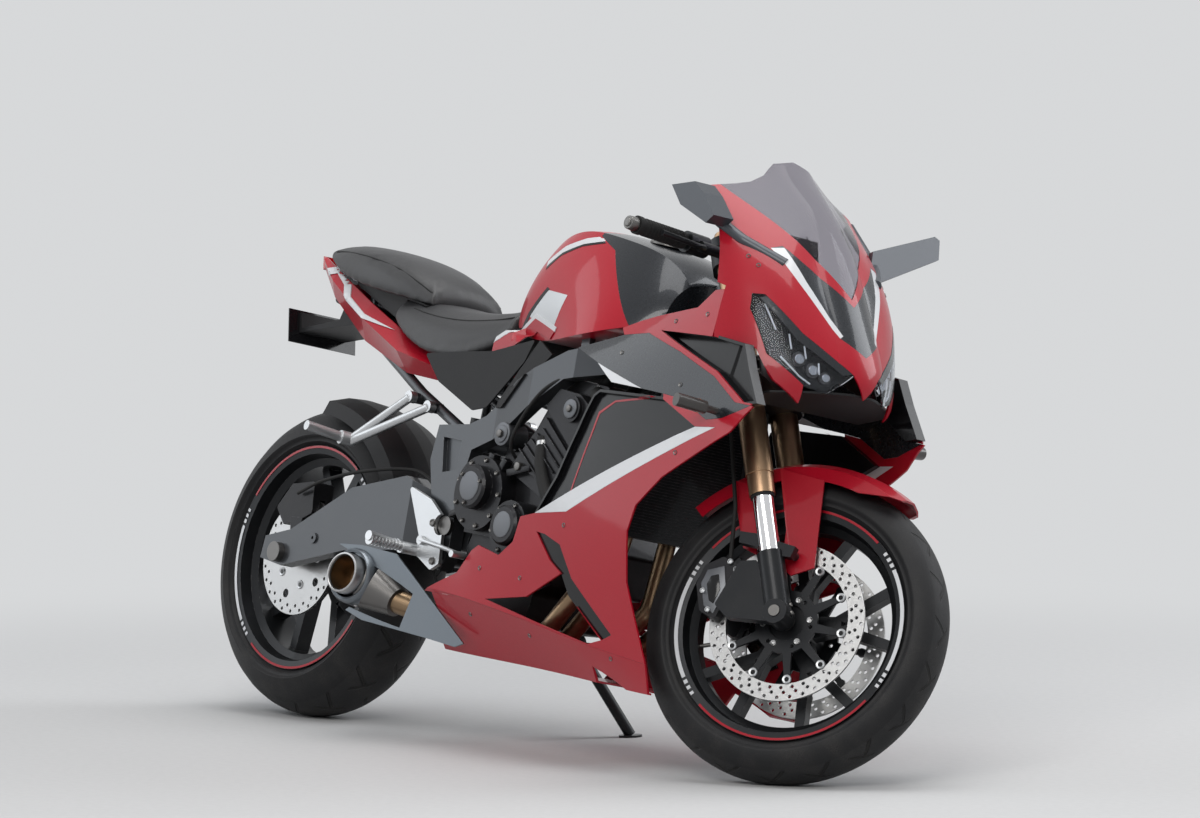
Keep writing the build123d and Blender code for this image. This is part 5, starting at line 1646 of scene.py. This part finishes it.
@dataclass(frozen=True)
class CaseDisc:
    """A round cover, plug, collar or nut on the engine's right side, in mm.

    Args:
        name: name of the piece.
        finish: name of its finish.
        at: (x, z) of its middle.
        radius: radius at its foot.
        ends: y of its foot and of its face.
        sides: facets round it.
    """

    name: str
    finish: str
    at: tuple[float, float]
    radius: float
    ends: tuple[float, float]
    sides: int

    def build(self) -> None:
        """Make the disc, slightly tapered."""
        piece = Piece(self.name, Body.CHASSIS, self.finish)
        foot, face = (Vector((self.at[0], y, self.at[1])) for y in self.ends)
        piece.rod(foot, face, self.radius, self.radius * 0.94, self.sides)
        piece.done(bevel=1.2)


@dataclass
class Engine:
    """Ribs, plug caps, webs, covers and the case's seam on the engine, in mm.

    Args:
        rib_low: (x, z) of the lowest cylinder rib.
        rib_high: (x, z) of the highest cylinder rib.
        ribs: how many ribs a side.
        rib: the three sizes of a rib.
        rib_tilt: how far the ribs lean, in degrees.
        plugs: y of each plug cap.
        webs: outlines of the webs between the covers.
        discs: the round parts on the right side.
        seam: the two ends of the case's seam.
    """

    rib_low: tuple[float, float] = (786.0, 542.0)
    rib_high: tuple[float, float] = (848.0, 586.0)
    ribs: int = 5
    rib: Point = (106.0, 5.0, 3.2)
    rib_tilt: float = 36.0
    plugs: tuple[float, ...] = (-105, -35, 35, 105)
    webs: tuple[Outline, ...] = (
        ((652, 512), (668, 516), (672, 556), (656, 560)), ((678, 512), (690, 505), (714, 546), (701, 553)),
        ((716, 530), (722, 516), (788, 532), (788, 543)), ((600, 452), (606, 438), (560, 424), (560, 436)),
    )
    discs: tuple[CaseDisc, ...] = (
        CaseDisc("right_mount_collar", "cast_grey", (687, 598), 25, (-118, -166), 40),
        CaseDisc("right_mount_ring", "cast_grey", (687, 598), 18, (-166, -169), 40),
        CaseDisc("right_mount_bolt", "dark_steel", (687, 598), 9, (-169, -175), 6),
        CaseDisc("cam_cap", "cast_grey", (887, 660), 20, (-166, -169.5), 40),
        CaseDisc("cam_cap_bolt", "dark_steel", (887, 660), 8, (-169.5, -174), 6),
        CaseDisc("timing_plug", "gold", (703, 494), 13, (-130, -150), 24),
        CaseDisc("web_bolt", "dark_steel", (752, 538), 9, (-150, -168), 24),
        CaseDisc("clutch_rim", "cast_grey", (644, 488), 30, (-190, -191.5), 64),
        CaseDisc("crank_rim", "cast_grey", (769, 420), 27, (-192, -193.5), 64),
    )
    seam: tuple[Point, Point] = ((604, -133.2, 452), (868, -133.2, 398))

    def build(self) -> None:
        """Make the engine's small parts."""
        ribs = Piece("cylinder_ribs", Body.CHASSIS, "engine_metal")
        tilt = Matrix.Rotation(math.radians(self.rib_tilt), 4, "Y")
        low, high = Vector(self.rib_low), Vector(self.rib_high)
        for side in (1, -1):
            for row in range(self.ribs):
                x, z = low.lerp(high, row / (self.ribs - 1))
                ribs.box((x, 160 * side, z), self.rib, tilt)
        ribs.done(bevel=0.8)
        caps = Piece("plug_caps", Body.CHASSIS, "black_plastic")
        for y in self.plugs:
            caps.rod((898, y, 706), (930, y, 752), 14, 12, 20)
        caps.done(bevel=1)
        webs = Piece("cover_webs", Body.CHASSIS, "engine_metal")
        for outline in self.webs:
            webs.side_plate(outline, -146, 18)
        webs.done(bevel=1.5)
        for disc in self.discs:
            disc.build()
        seam = Piece("case_seams", Body.CHASSIS, "dark_steel")
        seam.rod(*self.seam, 1.6, sides=8)
        seam.done()


@dataclass
class Fasteners:
    """Panel fasteners on the bodywork and bolts on the plate, in mm.

    Args:
        panels: (x, z) of the fasteners by the frame node that they sit on.
        plate_bolts: where the plate's bolts are.
    """

    panels: tuple[tuple[str, Outline], ...] = (
        ("side_fairings",
         ((1240, 300), (1235, 420), (1310, 590), (880, 320), (740, 330), (1120, 520), (1010, 430))),
        ("shoulder_panels", ((1080, 772), (1280, 720))),
        ("upper_fairings", ((1210, 842), (1300, 860))),
        ("belly_pan", ((1180, 190), (900, 214), (700, 240))),
        ("nose_cowl", ((1345, 981), (1368, 966))),
    )
    plate_bolts: tuple[Point, ...] = ((-181.2, -52, 806), (-181.2, 52, 806))

    def build(self) -> None:
        """Make the fasteners on both sides, and the plate's bolts."""
        heads = Piece("panel_fasteners", Body.CHASSIS, "dark_steel")
        for node, rows in self.panels:
            for x, z in rows:
                for side in (1, -1):
                    hit = surface(node, x, z, side)
                    if hit:
                        at, normal = hit
                        heads.bolt(at - normal * 1.5, normal, 5.0, 3.0)
        heads.done()
        bolts = Piece("plate_bolts", Body.CHASSIS, "steel")
        for at in self.plate_bolts:
            bolts.bolt(at, (-1, 0, -0.22), 5.0, 2.5)
        bolts.done()


@dataclass(frozen=True)
class Decal:
    """A thin painted band or panel that follows the bodywork on both sides.

    Args:
        name: name of the piece.
        finish: name of its finish.
        nodes: frame nodes that it lies on.
        rest: distance from the middle plane where it misses them, in mm.
        lift: how far it stands off the surface, in mm.
        outline: its outline as seen from its view, (across, z) in mm.
        view: the side that it is drawn from.
        step: distance between the points that follow the surface, in mm.
    """

    name: str
    finish: str
    nodes: tuple[str, ...]
    rest: float
    lift: float
    outline: Outline
    view: View = View.SIDE
    step: float = 14.0

    def build(self) -> None:
        """Lay the panel on the surface, both sides."""
        piece = Piece(self.name, Body.CHASSIS, self.finish)
        for side in (1, -1):
            self._lay(piece, side)
        piece.done(40)

    def _cut(self) -> bmesh.types.BMesh:
        """The flat outline, cut into small faces.

        Returns:
            A mesh in the plane of the outline.
        """
        flat = bmesh.new()
        _, edges = joined_verts(flat, [Vector((x, 0, z)) * MM for x, z in self.outline])
        bmesh.ops.edgeloop_fill(flat, edges=edges)
        bmesh.ops.triangulate(flat, faces=flat.faces[:])
        for axis in (Vector((1, 0, 0)), Vector((0, 0, 1))):
            spots = [v.co.dot(axis) for v in flat.verts]
            low, span = min(spots), max(spots) - min(spots)
            count = max(1, int(span / (self.step * MM)))
            for row in range(1, count):
                geom = flat.verts[:] + flat.edges[:] + flat.faces[:]
                at = axis * (low + span * row / count)
                bmesh.ops.bisect_plane(flat, geom=geom, plane_co=at, plane_no=axis)
        return flat

    def _lay(self, piece: Piece, side: int) -> None:
        """Drop the small faces on the surface of one side.

        Args:
            piece: the piece that they become part of.
            side: 1 for the left side and -1 for the right.
        """
        flat = self._cut()
        out = Vector((0, side, 0)) if self.view is View.SIDE else Vector((1, 0, 0))
        for vert in flat.verts:
            across, z = vert.co.x / MM, vert.co.z / MM
            hits = [hit for hit in (surface(node, across, z, side, self.view) for node in self.nodes) if hit]
            if hits:
                at, _ = max(hits, key=lambda hit: hit[0].dot(out))
                vert.co = (at + out * self.lift) * MM
            elif self.view is View.SIDE:
                vert.co.y = side * self.rest * MM
            else:
                vert.co = Vector((self.rest, across * side, z)) * MM
        grown = bmesh.ops.extrude_face_region(flat, geom=flat.faces[:], use_keep_orig=True)["geom"]
        inner = [v for v in grown if isinstance(v, bmesh.types.BMVert)]
        bmesh.ops.translate(flat, verts=inner, vec=-out * (self.lift + 0.6) * MM)
        data = bpy.data.meshes.new("laid")
        flat.to_mesh(data)
        flat.free()
        piece.mesh.from_mesh(data)
        bpy.data.meshes.remove(data)


DECALS = (
    Decal("tank_light_panels", "silver", ("tank",), 148.0, 0.5,
          ((650, 839), (718, 891), (798, 882), (779, 812), (678, 832))),
    Decal("tank_recesses", "panel_black", ("tank",), 148.0, 0.6,
          ((622, 806), (654, 846), (708, 897), (720, 893), (662, 838), (642, 812)), step=8.0),
    Decal("tank_crests", "white_paint", ("tank",), 90.0, 0.8,
          ((654, 952), (700, 985), (760, 1003), (828, 1012), (828, 1000), (762, 990), (704, 970),
           (664, 940)), step=8.0),
    Decal("tank_crest_lines", "panel_black", ("tank",), 90.0, 0.6,
          ((664, 940), (704, 970), (762, 990), (828, 1000), (828, 995), (763, 985), (706, 964),
           (668, 933)), step=8.0),
    Decal("tank_white_lines", "white_paint", ("tank", "frame"), 144.0, 2.2,
          ((584, 777), (590, 790), (690, 843), (797, 816), (793, 806), (691, 831)), step=8.0),
    Decal("tank_skirts", "red_paint", ("tank", "frame"), 144.0, 2.6,
          ((583, 758), (585, 779), (691, 833), (793, 807), (775, 792), (704, 807), (608, 751))),
    Decal("knee_pads", "black_plastic", ("frame",), 150.0, 5.0,
          ((626, 648), (736, 789), (781, 764), (660, 650))),
    Decal("tail_stripes", "white_paint", ("tail_cowl",), 60.0, 2.2,
          ((-107, 909), (-72, 915), (-2, 886), (28, 851), (103, 817), (215, 789), (104, 807), (16, 842),
           (-14, 875), (-58, 899), (-96, 893)), step=6.0),
    Decal("lamp_brows", "dark_paint", ("headlights",), 1400.0, 0.8,
          ((34, 788), (112, 848), (160, 908), (170, 904), (122, 834), (50, 782)), View.FRONT),
    Decal("recess_lines", "red_paint", ("vent_panels",), 200.0, 0.6,
          ((1216, 696), (1092, 679), (1049, 654), (1021, 566), (993, 480), (997, 479), (1025, 565),
           (1053, 650), (1093, 675), (1217, 692))),
)


@dataclass(frozen=True)
class Seat:
    """A foam seat under a stretched cover, made from the frame's own cushion.

    Args:
        node: the cushion's node.
        seam: (x, z) points along its piping, in mm.
        fill: how full the padding is; not used.
        voxel: size of the cover's mesh, in metres.
        pressure: how hard the foam presses the cover out.
        frames: how long the cover settles.
        reach: how far the foam may move the cover, in metres.
    """

    node: str
    seam: Outline
    fill: float = 0.8
    voxel: float = 0.006
    pressure: float = 4.0
    frames: int = 20
    reach: float = 0.006

    @staticmethod
    def _apply(obj: bpy.types.Object) -> None:
        """Bake an object's modifiers into its mesh.

        Args:
            obj: the object.
        """
        depsgraph = bpy.context.evaluated_depsgraph_get()
        depsgraph.update()
        baked = bpy.data.meshes.new_from_object(obj.evaluated_get(depsgraph))
        obj.modifiers.clear()
        old = obj.data
        obj.data = baked
        bpy.data.meshes.remove(old)

    def _swell(self, obj: bpy.types.Object) -> None:
        """Let the foam press the cover out, held at its underside.

        Args:
            obj: the cover, with a vertex group named held.
        """
        rest = [v.co.copy() for v in obj.data.vertices]
        cloth = obj.modifiers.new("cloth", "CLOTH")
        cloth.settings.quality = 6
        cloth.settings.vertex_group_mass = "held"
        cloth.settings.use_pressure = True
        cloth.settings.uniform_pressure_force = self.pressure
        cloth.settings.effector_weights.gravity = 0.0
        cloth.point_cache.frame_start, cloth.point_cache.frame_end = 1, self.frames
        for step in range(1, self.frames + 1):
            bpy.context.scene.frame_set(step)
        self._apply(obj)
        bpy.context.scene.frame_set(1)
        for vertex, old in zip(obj.data.vertices, rest):
            move = vertex.co - old
            if move.length > self.reach:
                vertex.co = old + move.normalized() * self.reach

    def cover(self) -> bpy.types.Object:
        """The padded seat in place of the frame's cushion.

        Returns:
            The finished cover.
        """
        obj = bpy.data.objects.new(f"{self.node}_cover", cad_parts[self.node].data.copy())
        bpy.context.scene.collection.objects.link(obj)
        obj.vertex_groups.clear()
        remesh = obj.modifiers.new("remesh", "REMESH")
        remesh.mode = "VOXEL"
        remesh.voxel_size = self.voxel
        self._apply(obj)
        group = obj.vertex_groups.new(name="held")
        upright = PARKING.matrix(Body.CHASSIS).inverted().to_3x3()
        for vertex in obj.data.vertices:
            under = (upright @ vertex.normal).z < -0.3
            group.add([vertex.index], 1.0 if under else 0.0, "REPLACE")
        self._swell(obj)
        smooth = obj.modifiers.new("smooth", "SMOOTH")
        smooth.factor, smooth.iterations = 0.5, 6
        self._apply(obj)
        finer = obj.modifiers.new("finer", "SUBSURF")
        finer.levels = finer.render_levels = 1
        for polygon in obj.data.polygons:
            polygon.use_smooth = True
        PALETTE.dress(obj, "seat_vinyl")
        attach(obj, Body.CHASSIS.value)
        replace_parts(obj, self.node)
        return obj

    def piping(self, cover: bpy.types.Object) -> None:
        """Piping along the upper edge of the seat, on its finished surface.

        Args:
            cover: the finished cover.
        """
        depsgraph = bpy.context.evaluated_depsgraph_get()
        depsgraph.update()
        place = PARKING.matrix(Body.CHASSIS)
        piece = Piece(f"{self.node}_piping", Body.CHASSIS, "rubber")
        for side in (1, -1):
            points = []
            for x, z in self.seam:
                start = place @ (Vector((x, 300 * side, z)) * MM)
                way = place.to_3x3() @ Vector((0, -side, 0))
                found, at, _, _ = cover.ray_cast(start, way, depsgraph=depsgraph)
                if found:
                    points.append((place.inverted() @ at) / MM - Vector((0, 0.6 * side, 0)))
            if len(points) > 1:
                smooth_pipe(piece, points, 1.7, 6, 8)
        piece.done()

    def build(self) -> None:
        """Make the seat and its piping."""
        self.piping(self.cover())


SEATS = (
    Seat("rider_seat", ((572, 836), (520, 827), (450, 820), (380, 821), (320, 827), (262, 836))),
    Seat("pillion_seat",
         ((288, 872), (240, 893), (180, 914), (110, 929), (40, 938), (-40, 944), (-98, 945))),
)


@dataclass(frozen=True)
class SoftLight:
    """A large square studio light that points at the machine.

    Args:
        name: name of the light.
        place: where it stands, in metres.
        size: width of its face, in metres.
        power: its power, in watts.
        colour: its colour.
    """

    name: str
    place: Point
    size: float
    power: float
    colour: Point

    def build(self) -> None:
        """Put the light up."""
        data = bpy.data.lights.new(self.name, "AREA")
        data.shape = "SQUARE"
        data.size = self.size
        data.energy = self.power
        data.color = self.colour
        lamp = bpy.data.objects.new(self.name, data)
        lamp.location = self.place
        lamp.rotation_euler = (Vector((0, 0, 0.5)) - Vector(self.place)).to_track_quat("-Z", "Y").to_euler()
        bpy.context.scene.collection.objects.link(lamp)
        lamp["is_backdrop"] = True


@dataclass
class Studio:
    """Floor, backdrop, lights and the camera at the photo's viewpoint.

    Args:
        target: the point that the camera looks at, in metres.
        azimuth: where the camera stands round the machine, in degrees.
        elevation: how high it stands, in degrees.
        distance: how far from the target it stands, in metres.
        lens: focal length, in mm.
        back: colour of the backdrop.
        floor_size: half width of the floor, in metres.
        fade: where the floor starts to fade and where it has faded, in metres.
        lights: the studio's lights.
    """

    target: Point = (0.24844, -0.1827, 0.6787)
    azimuth: float = 51.285
    elevation: float = 4.0136
    distance: float = 14.633
    lens: float = 227.564
    back: tuple[float, float, float, float] = (0.68, 0.69, 0.70, 1.0)
    floor_size: float = 60.0
    fade: tuple[float, float] = (1.3, 3.6)
    lights: tuple[SoftLight, ...] = (
        SoftLight("key", (4.5, -6.0, 5.5), 4.0, 330, (1.0, 0.98, 0.95)),
        SoftLight("fill", (-5.0, -4.0, 3.5), 5.0, 120, (0.92, 0.96, 1.0)),
        SoftLight("top", (0.5, 0.5, 6.5), 5.0, 300, (1.0, 1.0, 1.0)),
        SoftLight("rim", (3.0, 5.5, 4.0), 4.0, 200, (0.95, 0.97, 1.0)),
    )

    @staticmethod
    def _seen(graph: Graph) -> bpy.types.NodeSocket:
        """A mask of the rays that see the backdrop: from the camera, through glass and off metal.

        Args:
            graph: the graph that it is made in.

        Returns:
            The mask's socket.
        """
        path = graph.node("ShaderNodeLightPath").outputs
        seeing = graph.math("ADD", path["Is Camera Ray"], path["Is Transmission Ray"], True)
        return graph.math("ADD", seeing, path["Is Glossy Ray"], True)

    def _camera(self) -> None:
        """The camera, from the sizes above."""
        data = bpy.data.cameras.new("camera")
        data.lens = self.lens
        data.sensor_width = 36.0
        data.clip_end = 200.0
        az, el = math.radians(self.azimuth), math.radians(self.elevation)
        back = Vector((math.cos(el) * math.sin(az), -math.cos(el) * math.cos(az), math.sin(el)))
        camera = bpy.data.objects.new("camera", data)
        camera.location = Vector(self.target) + back * self.distance
        camera.rotation_euler = (-back).to_track_quat("-Z", "Y").to_euler()
        bpy.context.scene.collection.objects.link(camera)
        bpy.context.scene.camera = camera

    def _floor(self) -> None:
        """A pale floor that fades into the backdrop away from the machine."""
        made = bpy.data.materials.new("floor")
        made.use_nodes = True
        graph = Graph(made.node_tree)
        shader = made.node_tree.nodes["Principled BSDF"]
        place = graph.node("ShaderNodeTexCoord").outputs["Object"]
        noise = graph.node("ShaderNodeTexNoise", {"Vector": place, "Scale": 60.0, "Detail": 6.0}).outputs[0]
        colour = graph.mix(noise, (0.50, 0.50, 0.50, 1.0), (0.56, 0.56, 0.56, 1.0))
        graph.feed(shader.inputs["Base Color"], colour)
        graph.feed(shader.inputs["Roughness"], 0.85)
        away = graph.vector("LENGTH", place, out=1)
        fade = graph.node(
            "ShaderNodeMapRange", {"Value": away, "From Min": self.fade[0], "From Max": self.fade[1]},
            interpolation_type="SMOOTHERSTEP",
        ).outputs[0]
        mask = graph.math("MULTIPLY", fade, self._seen(graph))
        far = graph.node("ShaderNodeEmission", {"Color": self.back, "Strength": 1.0})
        both = graph.node("ShaderNodeMixShader", {0: mask, 1: shader.outputs[0], 2: far.outputs[0]})
        graph.feed(made.node_tree.nodes["Material Output"].inputs[0], both.outputs[0])
        mesh = bmesh.new()
        bmesh.ops.create_grid(mesh, x_segments=1, y_segments=1, size=self.floor_size)
        data = bpy.data.meshes.new("floor")
        mesh.to_mesh(data)
        mesh.free()
        data.materials.append(made)
        floor = bpy.data.objects.new("floor", data)
        bpy.context.scene.collection.objects.link(floor)
        floor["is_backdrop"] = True

    def _world(self) -> None:
        """A dim room whose backdrop is pale to the camera, in glass and in metal."""
        world = bpy.data.worlds.new("world")
        world.use_nodes = True
        graph = Graph(world.node_tree)
        room = world.node_tree.nodes["Background"]
        graph.feed(room.inputs[0], (0.60, 0.63, 0.68, 1.0))
        graph.feed(room.inputs[1], 0.30)
        seen = graph.node("ShaderNodeBackground", {"Color": self.back, "Strength": 1.0})
        shades = {0: self._seen(graph), 1: room.outputs[0], 2: seen.outputs[0]}
        both = graph.node("ShaderNodeMixShader", shades)
        graph.feed(world.node_tree.nodes["World Output"].inputs[0], both.outputs[0])
        bpy.context.scene.world = world

    def build(self) -> None:
        """Make the stage."""
        self._camera()
        self._floor()
        self._world()
        for light in self.lights:
            light.build()
        bpy.context.scene.view_settings.view_transform = "Standard"


def dress_nodes() -> None:
    """Give every frame node that stays in sight its finish."""
    for finish, nodes in NODES_BY_FINISH.items():
        for name in nodes:
            PALETTE.dress(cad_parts[name], finish)


def build_wheels() -> None:
    """Make both wheels' pieces."""
    front = Wheel(
        "front", Body.FRONT_WHEEL, PARKING.front_axle, radius=300.0, half=60.0, crown=62.0, rim_half=50.0,
        button_ring=114.0, button_count=10, disc_faces=(-62.0, 62.0), carriers=True,
    )
    rear = Wheel(
        "rear", Body.REAR_WHEEL, PARKING.rear_axle, radius=315.0, half=90.0, crown=95.0, rim_half=76.0,
        button_ring=60.0, button_count=5, disc_faces=(-87.0,),
    )
    for wheel in (front, rear):
        wheel.build()
    for wheel in (front, rear):
        wheel.fasten()


def build_trim() -> None:
    """Make the small parts of the bars, brakes, pegs, tank, exhaust and engine, and the fasteners."""
    controls = Controls()
    controls.grips()
    Callipers().build()
    controls.pegs()
    for part in (Radiator(), Glasses(), Filler(), Silencer(), Engine(), Fasteners()):
        part.build()


def write_sizes() -> None:
    """Bring the view layer up to date."""
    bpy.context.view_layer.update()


def main() -> None:
    """Build the scene and report its pieces."""
    logging.basicConfig(level=logging.INFO, format="%(message)s")
    dress_nodes()
    build_wheels()
    for part in (Chain(), *BOLTS, Fork(), Hoses(), Lamps()):
        part.build()
    build_trim()
    for part in (*DECALS, *SEATS, Studio()):
        part.build()
    write_sizes()
    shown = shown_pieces()
    for obj in shown:
        log.info("%s: %d faces", obj.name, len(obj.data.polygons))
    log.info("%d pieces", len(shown))


if __name__ == "__main__":
    main()
